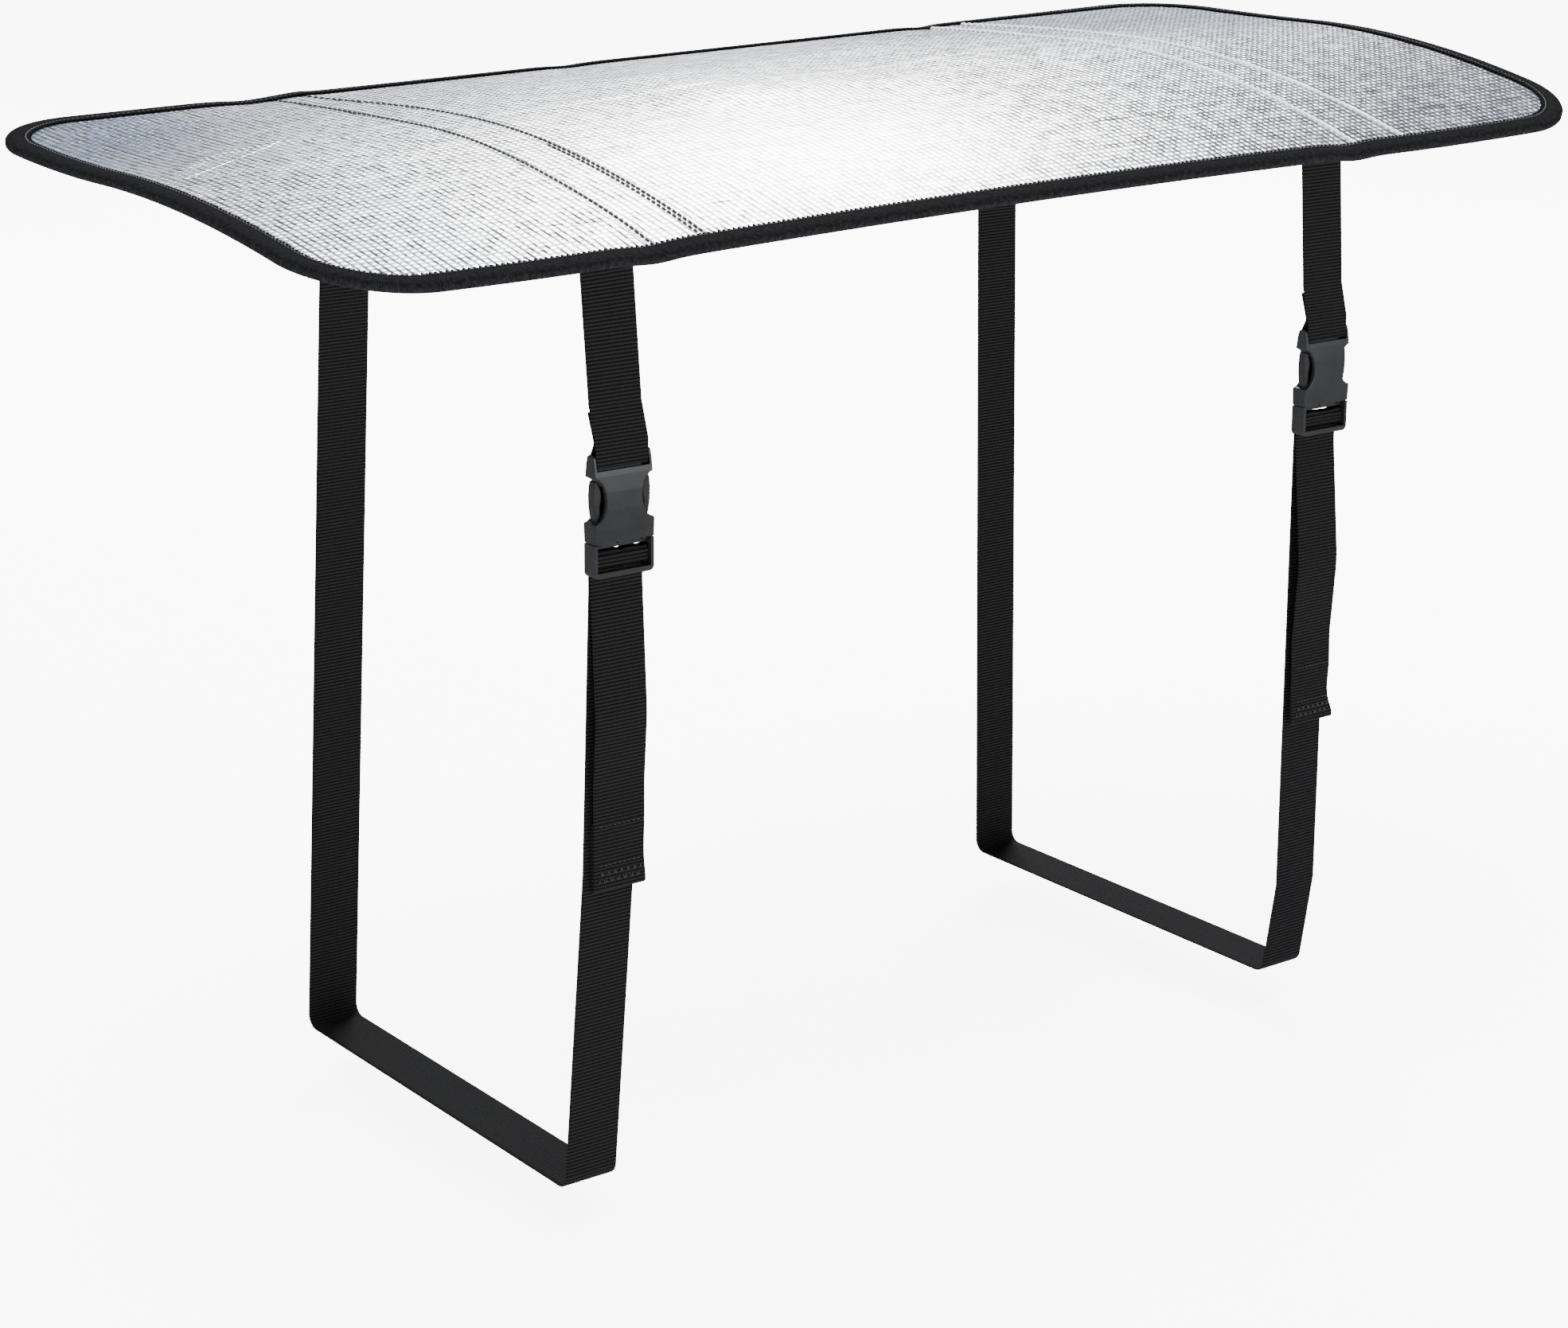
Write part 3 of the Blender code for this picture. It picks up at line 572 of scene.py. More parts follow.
def top_height(x, y):
    """The sheet's top as the part has it: a crown less a power of the way to the front or back edge."""
    s = x / (SHEET_LENGTH / 2)
    to_front = np.clip(y / EDGE_FRONT, 0.0, None) ** FALL_POWER
    to_back = np.clip(y / EDGE_BACK, 0.0, None) ** FALL_POWER
    height = along_sheet(CROWN_HEIGHT, s)
    height = height - along_sheet(FRONT_FALL, s) * to_front - along_sheet(BACK_FALL, s) * to_back
    end = np.clip((np.abs(s) - CORNER_LIFT_START) / (1.0 - CORNER_LIFT_START), 0.0, None) ** 2
    front_share = np.clip((EDGE_BACK - y) / (EDGE_BACK - EDGE_FRONT), 0.0, 1.0)
    height = height + FRONT_CORNER_LIFT * end * front_share
    for place, edge, rise, reach in EDGE_WAVES:
        height = height + rise * np.exp(-((x - place) / reach) ** 2 - ((y - edge) / WAVE_DEPTH) ** 2)
    fade_x = smoothstep((REST_FADED[0] - np.abs(x)) / (REST_FADED[0] - REST_FLAT[0]))
    fade_y = smoothstep((REST_FADED[1] - np.abs(y)) / (REST_FADED[1] - REST_FLAT[1]))
    return height + fade_x * fade_y * (SHEET_THICKNESS - height)


def middle_height(x, y):
    """The sheet's middle layer."""
    return top_height(x, y) - SHEET_THICKNESS / 2


def slopes_to_normals(height, x, y):
    """Unit normals of a height over x and y, from its slopes."""
    step = SLOPE_STEP
    slope_x = (height(x + step, y) - height(x - step, y)) / (2 * step)
    slope_y = (height(x, y + step) - height(x, y - step)) / (2 * step)
    return unit(np.stack([-slope_x, -slope_y, np.ones_like(slope_x)], axis=-1))


def row_x(row, y):
    """Where a row of stitches runs at a depth y: a smooth curve through its stops, by cosine easing."""
    stops = np.array(row)
    place = np.clip(np.interp(y, stops[:, 0], np.arange(len(stops))), 0.0, len(stops) - 1.0001)
    low = place.astype(int)
    rise = (stops[1:, 1] - stops[:-1, 1]) / (stops[1:, 0] - stops[:-1, 0])
    middle = np.concatenate([rise[:1], (rise[1:] + rise[:-1]) / 2, rise[-1:]])
    t = place - low
    span = stops[low + 1, 0] - stops[low, 0]
    start, end = stops[low, 1], stops[low + 1, 1]
    ease = smoothstep(t)
    bend = t * (1.0 - t) * span * ((1.0 - t) * middle[low] - t * middle[low + 1])
    return start + ease * (end - start) + bend


def furrows(x, y):
    """A groove of bell section along each row of stitches, puckered at each stitch."""
    depth = np.zeros_like(x)
    pucker = 0.75 + 0.25 * np.cos(2 * np.pi * y / STITCH_PITCH)
    for side, rows in STITCH_ROWS.items():
        for row in rows:
            off = x - row_x(row, y)
            depth -= STITCHING[side]["depth"] * pucker * np.exp(-(off / STITCHING[side]["width"]) ** 2)
            if side == "left":
                depth -= ECHO_DEPTH * np.exp(-((off - ECHO_PLACE) / ECHO_WIDTH) ** 2)
    return depth


def smoothed(x, y):
    """How far the stitching has flattened the embossing: a bell across each row, wider on the right."""
    level = np.zeros_like(x)
    for side, rows in STITCH_ROWS.items():
        for row in rows:
            level += STITCHING[side]["share"] * np.exp(-((x - row_x(row, y)) / STITCHING[side]["flat"]) ** 4)
    return level


def relief(x, y):
    """How deep the embossing reads: shallower left of the front's middle, deeper towards the right; it scales
    the bump and the painted shade of the lattice.
    """
    middle = np.exp(-((x - SHALLOW_PLACE[0]) / SHALLOW_REACH[0]) ** 2 - ((y - SHALLOW_PLACE[1]) / SHALLOW_REACH[1]) ** 2)
    return 1.0 + DEEP_SHARE * smoothstep((x - DEEP_START) / DEEP_REACH) - SHALLOW_SHARE * middle


def dimmed(x, y):
    """Painted dull reflection: how much darker and bluer the foil's colour is painted towards its ends and
    its back edge.
    """
    ways = zip((x, -x, y), PAINTED_DULL_SIDES)
    level = sum(share * smoothstep((way - start) / reach) for way, (start, reach, share) in ways)
    return np.clip(level, 0.0, 1.0)


def folds(x, y):
    """Long low ridges, bell in section, along bowed lines that fade at their ends."""
    total = np.zeros_like(x)
    for start, end, middle, bow, tilt, height, width in FOLDS:
        t = (x - (start + end) / 2) / ((end - start) / 2)
        line = middle + bow * t * t + tilt * (x - (start + end) / 2)
        share = smoothstep((1.0 - np.abs(t)) / 0.35)
        total += height * share * np.exp(-((y - line) / width) ** 2)
    return total


def sheet_top(x, y):
    """The visible top: the part's top with furrows and folds."""
    return top_height(x, y) + furrows(x, y) + folds(x, y)


def new_piece(name, points, faces, finish, uv=None, levels=None):
    """A piece from its points and four-sided faces, with named levels at its points, on the root body."""
    mesh = bpy.data.meshes.new(name)
    mesh.from_pydata(points.reshape(-1, 3).tolist(), [], faces.reshape(-1, 4).tolist())
    if uv is not None:
        layer = mesh.uv_layers.new(name="cloth")
        corners = np.empty(len(mesh.loops), dtype=np.int64)
        mesh.loops.foreach_get("vertex_index", corners)
        layer.data.foreach_set("uv", uv.reshape(-1, 2)[corners].ravel())
    for kind, values in (levels or {}).items():
        mesh.attributes.new(kind, "FLOAT", "POINT").data.foreach_set("value", values.ravel())
    mesh.shade_smooth()
    mesh.materials.append(finish)
    piece = bpy.data.objects.new(name, mesh)
    bpy.context.scene.collection.objects.link(piece)
    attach(piece, "root")
    return piece


def grid_faces(shape, round_rows=False, round_columns=False):
    """Four-sided faces of a grid of points; extra leading sizes are copies of the grid."""
    rows, columns = shape[-2:]
    index = np.arange(int(np.prod(shape))).reshape(-1, rows, columns)
    if round_rows:
        index = np.concatenate([index, index[:, :1]], axis=1)
    if round_columns:
        index = np.concatenate([index, index[:, :, :1]], axis=2)
    corners = [index[:, :-1, :-1], index[:, :-1, 1:], index[:, 1:, 1:], index[:, 1:, :-1]]
    return np.stack(corners, axis=-1).reshape(-1, 4)


def spaced(stops, steps):
    """Values from stop to stop, with the step wanted in each stretch."""
    values = [np.array([stops[0]])]
    for start, end, step in zip(stops[:-1], stops[1:], steps):
        values.append(np.linspace(start, end, int(np.ceil((end - start) / step)) + 1)[1:])
    return np.concatenate(values)


def sheet_columns(y):
    """X of every grid point, a line of points for each depth: stretches between the stitch rows are split
    evenly, and finely beside a row, so that the grid's columns run along the rows."""
    half = np.full_like(y, SHEET_LENGTH / 2)
    stops = [-half]
    for side in ("left", "right"):
        for row in STITCH_ROWS[side]:
            stops += [row_x(row, y) - ROW_MARGIN, row_x(row, y) + ROW_MARGIN]
    stops.append(half)
    columns = [stops[0][:, None]]
    for stretch, (start, end) in enumerate(zip(stops[:-1], stops[1:])):
        step = ROW_STEP if stretch % 2 else SHEET_STEP
        share = np.linspace(0.0, 1.0, int(np.ceil(np.max(end - start) / step)) + 1)[1:]
        columns.append(start[:, None] + share * (end - start)[:, None])
    return np.concatenate(columns, axis=1)


def make_foil_sheet():
    """Top surface on a grid drawn in at the round corners; Solidify gives the wall below it."""
    stops = [EDGE_FRONT, EDGE_FRONT + TAPE_LEG, EDGE_BACK - TAPE_LEG, EDGE_BACK]
    rows = spaced(stops, [TAPED_STEP, OPEN_STEP, TAPED_STEP])
    x = sheet_columns(rows)
    y = np.broadcast_to(rows[:, None], x.shape)
    from_edge = np.minimum(y - EDGE_FRONT, EDGE_BACK - y)
    into_corner = np.clip(CORNER_RADIUS - from_edge, 0.0, None)
    inset = CORNER_RADIUS - np.sqrt(CORNER_RADIUS ** 2 - into_corner ** 2)
    half = SHEET_LENGTH / 2
    pull = smoothstep((np.abs(x) - CORNER_PULL_START) / (half - CORNER_PULL_START))
    x = x - np.sign(x) * pull * inset
    z = sheet_top(x, y)
    rise = np.gradient(z, axis=0)
    cut_y = np.cumsum(np.hypot(np.gradient(y, axis=0), rise), axis=0) + EDGE_FRONT
    # The levels carried at the points include the painted dull reflection towards the ends and the back
    piece = new_piece("foil_sheet", np.stack([x, y, z], -1), grid_faces(x.shape), foil_finish(),
                      np.stack([x, cut_y], -1),
                      {"smoothed": smoothed(x, y), "relief": relief(x, y), "dimmed": dimmed(x, y)})
    wall = piece.modifiers.new("wall", "SOLIDIFY")
    wall.thickness = SHEET_THICKNESS
    wall.offset = -1.0
    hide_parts("cover_sheet")


def outline_plan(step):
    """The sheet's outline from above, anticlockwise, with its arc length: edges and round corners."""
    half = SHEET_LENGTH / 2 - CORNER_RADIUS
    low, high = EDGE_FRONT + CORNER_RADIUS, EDGE_BACK - CORNER_RADIUS
    quarter = CORNER_RADIUS * np.pi / 2
    runs = [2 * half, quarter, high - low, quarter, 2 * half, quarter, high - low, quarter]
    total = sum(runs)
    s = np.linspace(0.0, total, int(round(total / step)), endpoint=False)
    starts = np.concatenate([[0.0], np.cumsum(runs)])
    corner = [(half, low), (half, high), (-half, high), (-half, low)]
    plan = np.empty((len(s), 2))
    for run in range(8):
        inside = (s >= starts[run]) & (s < starts[run + 1])
        t = s[inside] - starts[run]
        side = run // 2
        heading = side * np.pi / 2
        if run % 2:
            centre = np.array(corner[side])
            angle = heading - np.pi / 2 + t / CORNER_RADIUS
            plan[inside] = centre + CORNER_RADIUS * np.stack([np.cos(angle), np.sin(angle)], -1)
        else:
            last = np.array(corner[side - 1])
            out = np.array([np.cos(heading - np.pi / 2), np.sin(heading - np.pi / 2)])
            ahead = np.array([np.cos(heading), np.sin(heading)])
            plan[inside] = last + CORNER_RADIUS * out + t[:, None] * ahead
    return plan, s


def edge_frame(plan):
    """Points of the sheet's middle layer along its outline, with the outward and upward directions."""
    x, y = plan[:, 0], plan[:, 1]
    edge = np.stack([x, y, middle_height(x, y)], -1)
    along = np.roll(edge, -1, axis=0) - np.roll(edge, 1, axis=0)
    up = slopes_to_normals(middle_height, x, y)
    return edge, unit(np.cross(along, up)), up


def make_edge_tape():
    """A folded tape carried round the outline, its top inner edge scalloped by the stitches."""
    plan, s = outline_plan(TAPE_STEP)
    edge, outward, up = edge_frame(plan)
    leg = SHEET_THICKNESS / 2 + TAPE_GAP
    outer = leg + TAPE_THICKNESS
    nose = TAPE_END_GAP + TAPE_THICKNESS
    top = [(-TAPE_LEG, leg), (-TAPE_LEG - 0.0002, leg + 0.5 * TAPE_THICKNESS),
           (-TAPE_LEG + 0.0006, outer - 0.0001), (-TAPE_LEG + TAPE_ROW_INSET, outer - TAPE_ROW_DROP),
           (-TAPE_LEG + 0.0035, outer), (-0.0055, outer + 0.0003), (-0.0020, outer + 0.0001),
           (nose - 0.0008, outer - 0.0006), (nose, 0.45 * outer)]
    bottom = [(out, -height) for out, height in reversed(top)]
    inner = [(TAPE_END_GAP, -leg + 0.0003), (TAPE_END_GAP, leg - 0.0003)]
    section = np.array(top + bottom + inner)
    scallop = 0.5 + 0.5 * np.cos(2 * np.pi * s / TAPE_SCALLOP)
    reach = np.clip((-section[:, 0] - 0.007) / 0.005, 0.0, 1.0)
    out = section[None, :, 0] - reach[None] * TAPE_BITE * (scallop[:, None] - 0.5)
    raised = np.clip(section[None, :, 1] / outer, 0.0, None) * reach[None] * scallop[:, None]
    height = section[None, :, 1] + TAPE_PUCKER * raised
    points = edge[:, None] + out[..., None] * outward[:, None] + height[..., None] * up[:, None]
    round_section = np.concatenate([[0.0], np.cumsum(np.linalg.norm(np.diff(section, axis=0), axis=1))])
    uv = np.stack(np.broadcast_arrays(round_section[None], s[:, None]), -1)
    piece = new_piece("edge_tape", points, grid_faces(out.shape, True, True), tape_finish(), uv)
    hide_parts("edge_binding")


def rounded_route(corners, steps=14):
    """Points along straight runs between corners (x, y, z, radius), each corner an arc in Y and Z."""
    corners = np.array(corners)
    points = [corners[0, :3]]
    for before, corner, after in zip(corners[:-2], corners[1:-1], corners[2:]):
        back = before[1:3] - corner[1:3]
        on = after[1:3] - corner[1:3]
        back_length, on_length = np.linalg.norm(back), np.linalg.norm(on)
        back, on = back / back_length, on / on_length
        half_angle = np.arccos(np.clip(back @ on, -1.0, 1.0)) / 2
        reach = min(corner[3] / np.tan(half_angle), 0.499 * back_length, 0.499 * on_length)
        radius = reach * np.tan(half_angle)
        if radius < 0.00001:
            points.append(corner[:3])
            continue
        inward = (back + on) / np.linalg.norm(back + on)
        centre = corner[1:3] + inward * radius / np.sin(half_angle)
        first = corner[1:3] + back * reach - centre
        last = corner[1:3] + on * reach - centre
        sweep = np.arctan2(first[0] * last[1] - first[1] * last[0], first @ last)
        angle = np.linspace(0.0, sweep, steps)[:, None]
        turned = first * np.cos(angle) + np.array([-first[1], first[0]]) * np.sin(angle)
        points += list(np.column_stack([np.full(steps, corner[0]), centre + turned]))
    points.append(corners[-1, :3])
    return np.array(points)


def even_steps(points, step):
    """The same route with points at even arc length."""
    length = np.concatenate([[0.0], np.cumsum(np.linalg.norm(np.diff(points, axis=0), axis=1))])
    at = np.linspace(0.0, length[-1], int(np.ceil(length[-1] / step)))
    at = np.unique(np.concatenate([at, length]))
    at = at[np.concatenate([[True], np.diff(at) > 0.0001])]
    return np.stack([np.interp(at, length, points[:, axis]) for axis in range(3)], -1), at


def buckle_place(strap):
    """Origin of the buckle's own frame."""
    return np.array([strap["buckle_x"], LOOP_FRONT - WEB_STAND_OFF - WEB_THICKNESS / 2 - LOAD_RUN_Y,
                     strap["buckle_z"]])


def strap_route(strap):
    """Centre line of one webbing, from its sewn-back end above the socket to the hem of its tail."""
    place = buckle_place(strap)
    layer = WEB_THICKNESS + WEB_LAYER_GAP
    under_sheet = SHEET_THICKNESS / 2 + WEB_SHEET_GAP + WEB_THICKNESS / 2
    wrap = LOOP_HALF_DEPTH + WEB_SHEET_GAP + WEB_THICKNESS / 2
    fold_reach = TAPE_LEG + TAPE_END_GAP + WEB_THICKNESS / 2 + layer / 2
    front_fold, back_fold = EDGE_FRONT + fold_reach, EDGE_BACK - fold_reach
    face = LOOP_FRONT - WEB_STAND_OFF - WEB_THICKNESS / 2
    back = LOOP_BACK + WEB_STAND_OFF + WEB_THICKNESS / 2
    foot = LOOP_BOTTOM - WEB_STAND_OFF - WEB_THICKNESS / 2
    loop_low = LOOP_SLOT_TOP - WEB_SHEET_GAP - WEB_THICKNESS / 2
    sewn_back_top = LOOP_BAR_TOP + SEWN_BACK_LENGTH
    ladder_front = -BAR_HALF_DEPTH - LADDER_WEB_GAP - WEB_THICKNESS / 2
    tail_y = BAR_HALF_DEPTH + LADDER_WEB_GAP + WEB_THICKNESS / 2
    inner_pass = (CENTRE_BAR_TOP + INNER_SLOT_TOP) / 2 + INNER_PASS_RISE
    outer_pass = (LADDER_FOOT + OUTER_SLOT_TOP) / 2 - OUTER_PASS_DROP

    def under(x, y, depth):
        return float(middle_height(np.array(x), np.array(y))) - depth

    def on_buckle(y, z, radius, x=0.0):
        return (place[0] + x, place[1] + y, place[2] + z, radius)

    across = np.linspace(front_fold, back_fold, SEWN_STATIONS)
    share = (across - EDGE_FRONT) / (EDGE_BACK - EDGE_FRONT)
    across_x = strap["front_edge_x"] + share * (strap["back_edge_x"] - strap["front_edge_x"])
    sewn = [(x, y, under(x, y, under_sheet), 0.0) for x, y in zip(across_x, across)]
    first, last = sewn[0], sewn[-1]
    face_top = LOOP_FRONT - FACE_TOP_INSET
    lean = strap["lean"]
    corners = [
        on_buckle(-wrap + layer, sewn_back_top, 0.0, SEWN_BACK_LEAN * lean),
        on_buckle(-wrap + layer, LOOP_BAR_TOP + SEWN_BACK_START, CLOSING_BEND),
        on_buckle(wrap, LOOP_BAR_TOP + WEB_SHEET_GAP, WRAP_BEND),
        on_buckle(wrap, loop_low, WRAP_BEND),
        on_buckle(-wrap, loop_low, WRAP_BEND),
        on_buckle(-wrap, LOOP_BAR_TOP + SEWN_BACK_START, 0.0),
        on_buckle(-wrap, sewn_back_top + SEWN_BACK_CLEAR, SOFT_BEND, lean),
        (strap["face_x"], face_top, under(strap["face_x"], face_top, under_sheet + layer), FACE_BEND),
        (first[0], front_fold, first[2] - layer, 0.0),
        (first[0], front_fold - layer / 2, first[2] - layer, layer / 2),
        (first[0], front_fold - layer / 2, first[2], layer / 2),
    ]
    corners += sewn
    corners += [
        (last[0], back_fold + layer / 2, last[2], layer / 2),
        (last[0], back_fold + layer / 2, last[2] - layer, layer / 2),
        (last[0], back_fold, last[2] - layer, 0.0),
        (last[0], back, under(last[0], back, under_sheet + layer), FACE_BEND),
        (strap["foot_x"], back, foot, FOOT_BEND),
        (strap["foot_x"], face, foot, FOOT_BEND),
        (strap["low_x"], face, strap["low_z"], 0.0),
        (place[0], face, place[2] - LADDER_APPROACH, 0.0),
        (place[0], face, place[2] + inner_pass, PASS_BENDS[0]),
        on_buckle(ladder_front, inner_pass, PASS_BENDS[1]),
        on_buckle(ladder_front, outer_pass, PASS_BENDS[2]),
        on_buckle(tail_y, outer_pass, PASS_BENDS[3]),
        on_buckle(tail_y, -TAIL_START, SOFT_BEND),
    ]
    drift = strap["tail_x"] - place[0]
    length, bow = strap["tail_length"], strap["tail_bow"]
    end_y = tail_y - TAIL_END_BOW * bow
    hem_top = HEM_LENGTH - length
    corners += [
        on_buckle(tail_y - bow, -TAIL_BOW_PLACE * length, TAIL_BEND, TAIL_DRIFT[0] * drift),
        on_buckle(end_y, hem_top + HEM_APPROACH, SOFT_BEND, TAIL_DRIFT[1] * drift),
        on_buckle(end_y, -length, layer / 2, drift),
        on_buckle(end_y + layer, -length, layer / 2, drift),
        on_buckle(end_y + layer, hem_top, 0.0, drift),
    ]
    return rounded_route(corners)


def web_ring():
    """The webbing's section as a closed ring of (across, up) points, in half widths and thicknesses."""
    half = np.array(WEB_SECTION)
    top = np.concatenate([half[::-1] * (-1, 1), half[1:]])
    return np.concatenate([top, top[::-1] * (1, -1)])


def make_webbing(side, strap, finish):
    """The webbing's section carried along its route, each edge following the tilt of the sheet above."""
    route, length = even_steps(strap_route(strap), ROUTE_STEP)
    ahead = unit(np.gradient(route[:, 1:3], axis=0))
    normal = np.stack([np.zeros(len(route)), -ahead[:, 1], ahead[:, 0]], -1)
    ring = web_ring()
    across = ring[:, 0] * WEB_WIDTH / 2
    fade = smoothstep(1.0 + (route[:, 2] - middle_height(route[:, 0], route[:, 1])) / SHEET_TILT_FADE)
    tail_low = buckle_place(strap)[2] - strap["tail_length"]
    on_tail = (length > length[-1] - strap["tail_length"] - HEM_LENGTH) & (route[:, 2] < tail_low + 0.10)
    way = (route[:, 2] - tail_low) / FLARE_LENGTH
    waist = 0.6 * np.exp(-((way - 2.5) / 1.5) ** 2)
    flare = strap["tail_flare"] * (np.exp(-(way - 0.2) ** 2) - waist) * on_tail
    x = route[:, 0, None] + across + flare[:, None] * np.clip(across / (WEB_WIDTH / 2), 0.0, 1.0)
    y = np.broadcast_to(route[:, 1, None], x.shape)
    tilt = middle_height(x, y) - middle_height(route[:, 0], route[:, 1])[:, None]
    z = route[:, 2, None] + fade[:, None] * tilt
    place = buckle_place(strap)
    gaps = [deep * np.exp(-((across - at) / reach) ** 2) for at, reach, deep in PASS_GAPS[side]]
    lift = PASS_LIFT - sum(gaps)
    pass_z = place[2] + (CENTRE_BAR_TOP + INNER_SLOT_TOP) / 2 + INNER_PASS_RISE
    near = np.abs(route[:, 1] - place[1]) < PASS_REACH[0]
    near = near & (np.abs(route[:, 2] - pass_z) < PASS_REACH[1])
    z = z + near[:, None] * lift
    points = np.stack([x, y, z], -1) + normal[:, None] * (ring[:, 1] * WEB_THICKNESS / 2)[None, :, None]
    uv = np.stack(np.broadcast_arrays(across[None], length[:, None]), -1)
    faces = grid_faces(x.shape, False, True)
    piece = new_piece("webbing_" + side, points, faces, finish, uv)
    close_ends(piece)
    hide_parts("strap_" + side)


def close_ends(piece):
    """Fills the open rings at the two ends."""
    shell = bmesh.new()
    shell.from_mesh(piece.data)
    bmesh.ops.holes_fill(shell, edges=[edge for edge in shell.edges if edge.is_boundary])
    bmesh.ops.recalc_face_normals(shell, faces=shell.faces)
    shell.to_mesh(piece.data)
    shell.free()


def thread_stitches(name, centres, along, up, radius, length, finish):
    """Stitches: a round thread that dips at both ends, one copy at each centre."""
    stations = np.linspace(-1.0, 1.0, 7)
    lift = radius * (1.0 - 1.9 * stations ** 4)
    swell = radius * np.sqrt(1.0 - 0.85 * stations ** 6)
    angle = np.linspace(0.0, 2 * np.pi, 6, endpoint=False)
    across = np.cross(along, up)
    middle = centres[:, None] + (stations * length / 2)[None, :, None] * along[:, None]
    middle = middle + lift[None, :, None] * up[:, None]
    ring_across = (swell[:, None] * np.cos(angle))[None, :, :, None] * across[:, None, None]
    ring_up = (swell[:, None] * np.sin(angle))[None, :, :, None] * up[:, None, None]
    points = middle[:, :, None] + ring_across + ring_up
    shape = points.shape[:-1]
    along_thread = (stations * length / 2)[None, :, None]
    uv = np.stack(np.broadcast_arrays(radius * angle[None, None], along_thread), -1)
    uv = np.broadcast_to(uv, shape + (2,))
    new_piece(name, points, grid_faces(shape, False, True), finish, uv)


def make_row_stitches(side, finish):
    """The stitches of both rows over one webbing."""
    centres, along, up = [], [], []
    sink = STITCHING[side]["depth"] * THREAD_SINK
    first, last = EDGE_FRONT + TAPE_LEG + ROW_INSET, EDGE_BACK - TAPE_LEG - ROW_INSET
    runs = [(row, 0.0, last) for row in STITCH_ROWS[side]]
    runs += [(STITCH_ROWS[side][index], beside, end) for index, beside, end in DOUBLED_ROWS[side]]
    for row, beside, end in runs:
        y = np.arange(first, end, STITCH_PITCH)
        x = row_x(row, y) + beside
        here = np.stack([x, y, top_height(x, y) - sink], -1)
        on_y = y + HEADING_STEP
        on = np.stack([row_x(row, on_y) + beside, on_y, top_height(x, on_y) - sink], -1)
        centres.append(here)
        along.append(unit(on - here))
        up.append(slopes_to_normals(top_height, x, y))
    thread_stitches("stitches_" + side, np.concatenate(centres), np.concatenate(along), np.concatenate(up),
                    STITCHING[side]["thread"], STITCHING[side]["stitch"], finish)


def make_hem_stitches(side, strap, finish):
    """The stitches that close the hem of a tail: a row across its front and a zigzag near its end."""
    place = buckle_place(strap)
    end_y = BAR_HALF_DEPTH + LADDER_WEB_GAP + WEB_THICKNESS / 2 - TAIL_END_BOW * strap["tail_bow"]
    low = place[2] - strap["tail_length"]
    reach = WEB_WIDTH / 2 - HEM_MARGIN
    turns = np.linspace(-reach, reach, HEM_TURNS)
    rises = np.where(np.arange(HEM_TURNS) % 2, *HEM_ZIGZAG)
    zigzag = np.stack([turns, np.zeros(HEM_TURNS), rises], -1)
    seams = [*zip(zigzag[:-1], zigzag[1:])]
    for rise in HEM_ROWS:
        seams.append((np.array([-reach, 0.0, rise]), np.array([reach, 0.0, rise])))
    centres, along = [], []
    for start, end in seams:
        count = int(np.linalg.norm(end - start) / HEM_STITCH_PITCH)
        share = (np.arange(count) + 0.5)[:, None] / count
        centres.append(start + share * (end - start))
        along.append(np.broadcast_to(unit(end - start), (count, 3)))
    middle = np.concatenate(centres) + (strap["tail_x"], place[1] + end_y - WEB_THICKNESS / 2, low)
    front = np.broadcast_to(np.array([0.0, -1.0, 0.0]), middle.shape)
    thread_stitches("hem_stitches_" + side, middle, np.concatenate(along), front, HEM_THREAD,
                    HEM_STITCH_SHARE * HEM_STITCH_PITCH, finish)


def make_tape_stitches(finish):
    """The stitches that hold the edge tape, near its inner edge on top."""
    plan, _ = outline_plan(TAPE_SCALLOP)
    edge, outward, up = edge_frame(plan)
    height = SHEET_THICKNESS / 2 + TAPE_GAP + TAPE_THICKNESS - TAPE_ROW_DROP
    centres = edge - (TAPE_LEG - TAPE_ROW_INSET) * outward + height * up
    along = unit(np.roll(centres, -1, axis=0) - np.roll(centres, 1, axis=0))
    length = TAPE_SCALLOP * 0.75
    thread_stitches("tape_stitches", centres, along, up, TAPE_THREAD, length, finish)


def make_floor():
    """A wide pale floor under the loops of webbing."""
    mesh = bpy.data.meshes.new("studio_floor")
    half, level = FLOOR_HALF, FLOOR_LEVEL
    corners = [(-half, -half, level), (half, -half, level), (half, half, level), (-half, half, level)]
    mesh.from_pydata(corners, [], [(0, 1, 2, 3)])
    mesh.materials.append(floor_finish())
    floor = bpy.data.objects.new("studio_floor", mesh)
    floor.visible_glossy = False
    bpy.context.scene.collection.objects.link(floor)


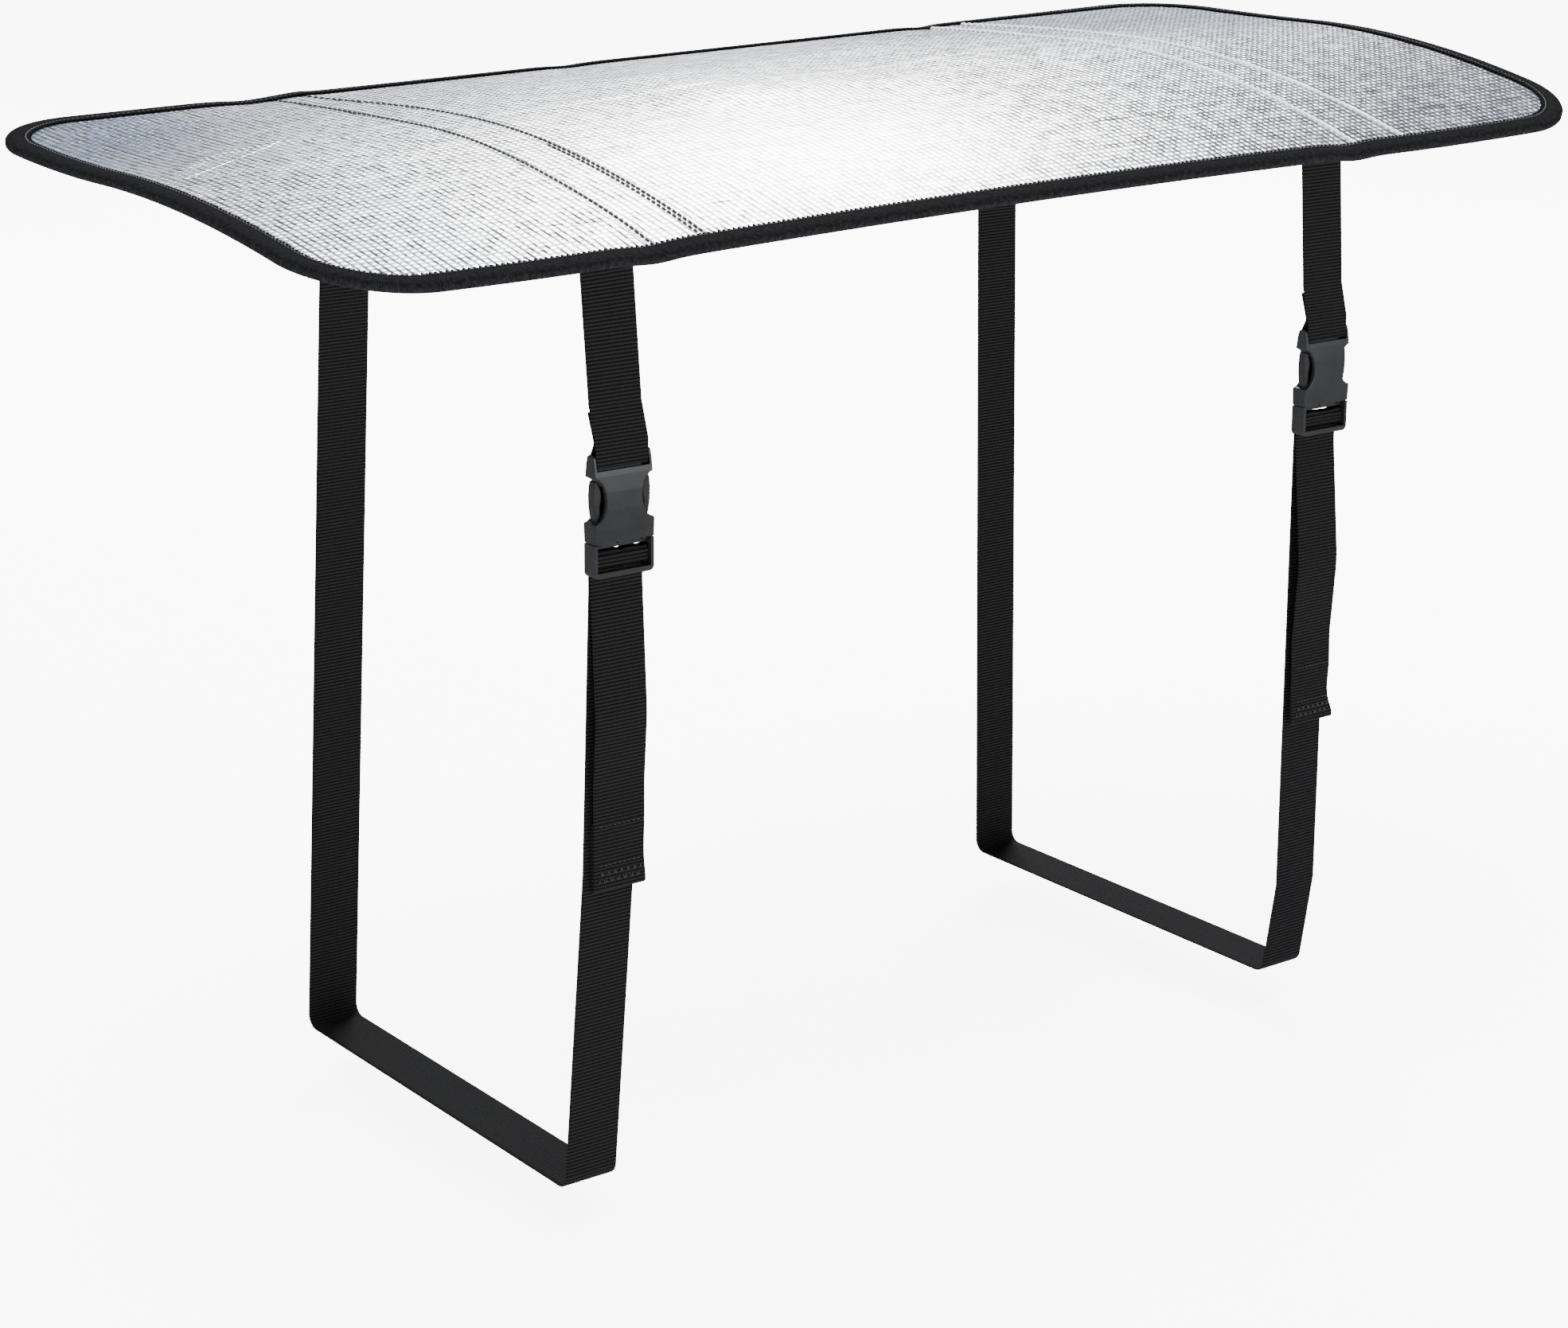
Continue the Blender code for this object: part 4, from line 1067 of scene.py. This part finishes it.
def add_light(name, kind, place, power):
    """A light at a place, turned to the cover."""
    lamp = bpy.data.lights.new(name, kind)
    lamp.energy = power
    light = bpy.data.objects.new(name, lamp)
    light.location = place
    light.rotation_euler = (-Vector(place)).to_track_quat("-Z", "Y").to_euler()
    light.visible_camera = False
    bpy.context.scene.collection.objects.link(light)
    return lamp


def make_studio():
    """A wide soft light from above, panels that the foil mirrors, and a dim surround."""
    world = bpy.data.worlds.new("studio")
    world.use_nodes = True
    surround = world.node_tree.nodes["Background"]
    surround.inputs["Color"].default_value = SURROUND_COLOUR
    surround.inputs["Strength"].default_value = SURROUND_STRENGTH
    bpy.context.scene.world = world
    ceiling = add_light("ceiling", "SUN", CEILING_PLACE, CEILING_POWER)
    ceiling.angle = np.radians(CEILING_SPREAD)
    for name, place, size, power in PANELS:
        panel = add_light(name, "AREA", place, power)
        panel.shape = "RECTANGLE"
        panel.size, panel.size_y = size


def make_camera():
    """The camera, at the photograph's place and lens."""
    camera = bpy.data.cameras.new("camera")
    camera.sensor_width = CAMERA_SENSOR
    camera.lens = CAMERA_LENS
    camera.shift_y = CAMERA_SHIFT
    holder = bpy.data.objects.new("camera", camera)
    holder.location = CAMERA_PLACE
    holder.rotation_euler = CAMERA_TURN
    bpy.context.scene.collection.objects.link(holder)
    bpy.context.scene.camera = holder


make_camera()
make_studio()
make_floor()
make_foil_sheet()
make_edge_tape()
webbing = webbing_finish()
for side, strap in STRAPS.items():
    make_webbing(side, strap, webbing)
hem_thread = thread_finish("hem_thread", grey(0.004), grey(0.016))
for side, strap in STRAPS.items():
    make_hem_stitches(side, strap, hem_thread)
make_row_stitches("left", thread_finish("grey_thread", grey(0.004), grey(0.020)))
# White thread as a painted highlight: the right rows' stitched furrows catch the light
make_row_stitches("right", thread_finish("thread_painted_highlight", grey(0.96), grey(1.0), 1.0))
make_tape_stitches(thread_finish("black_thread", grey(0.002), grey(0.010)))
plastic = plastic_finish()
for kind in ("socket", "plug"):
    for side in STRAPS:
        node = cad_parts[kind + "_" + side]
        node.material_slots[0].material = plastic
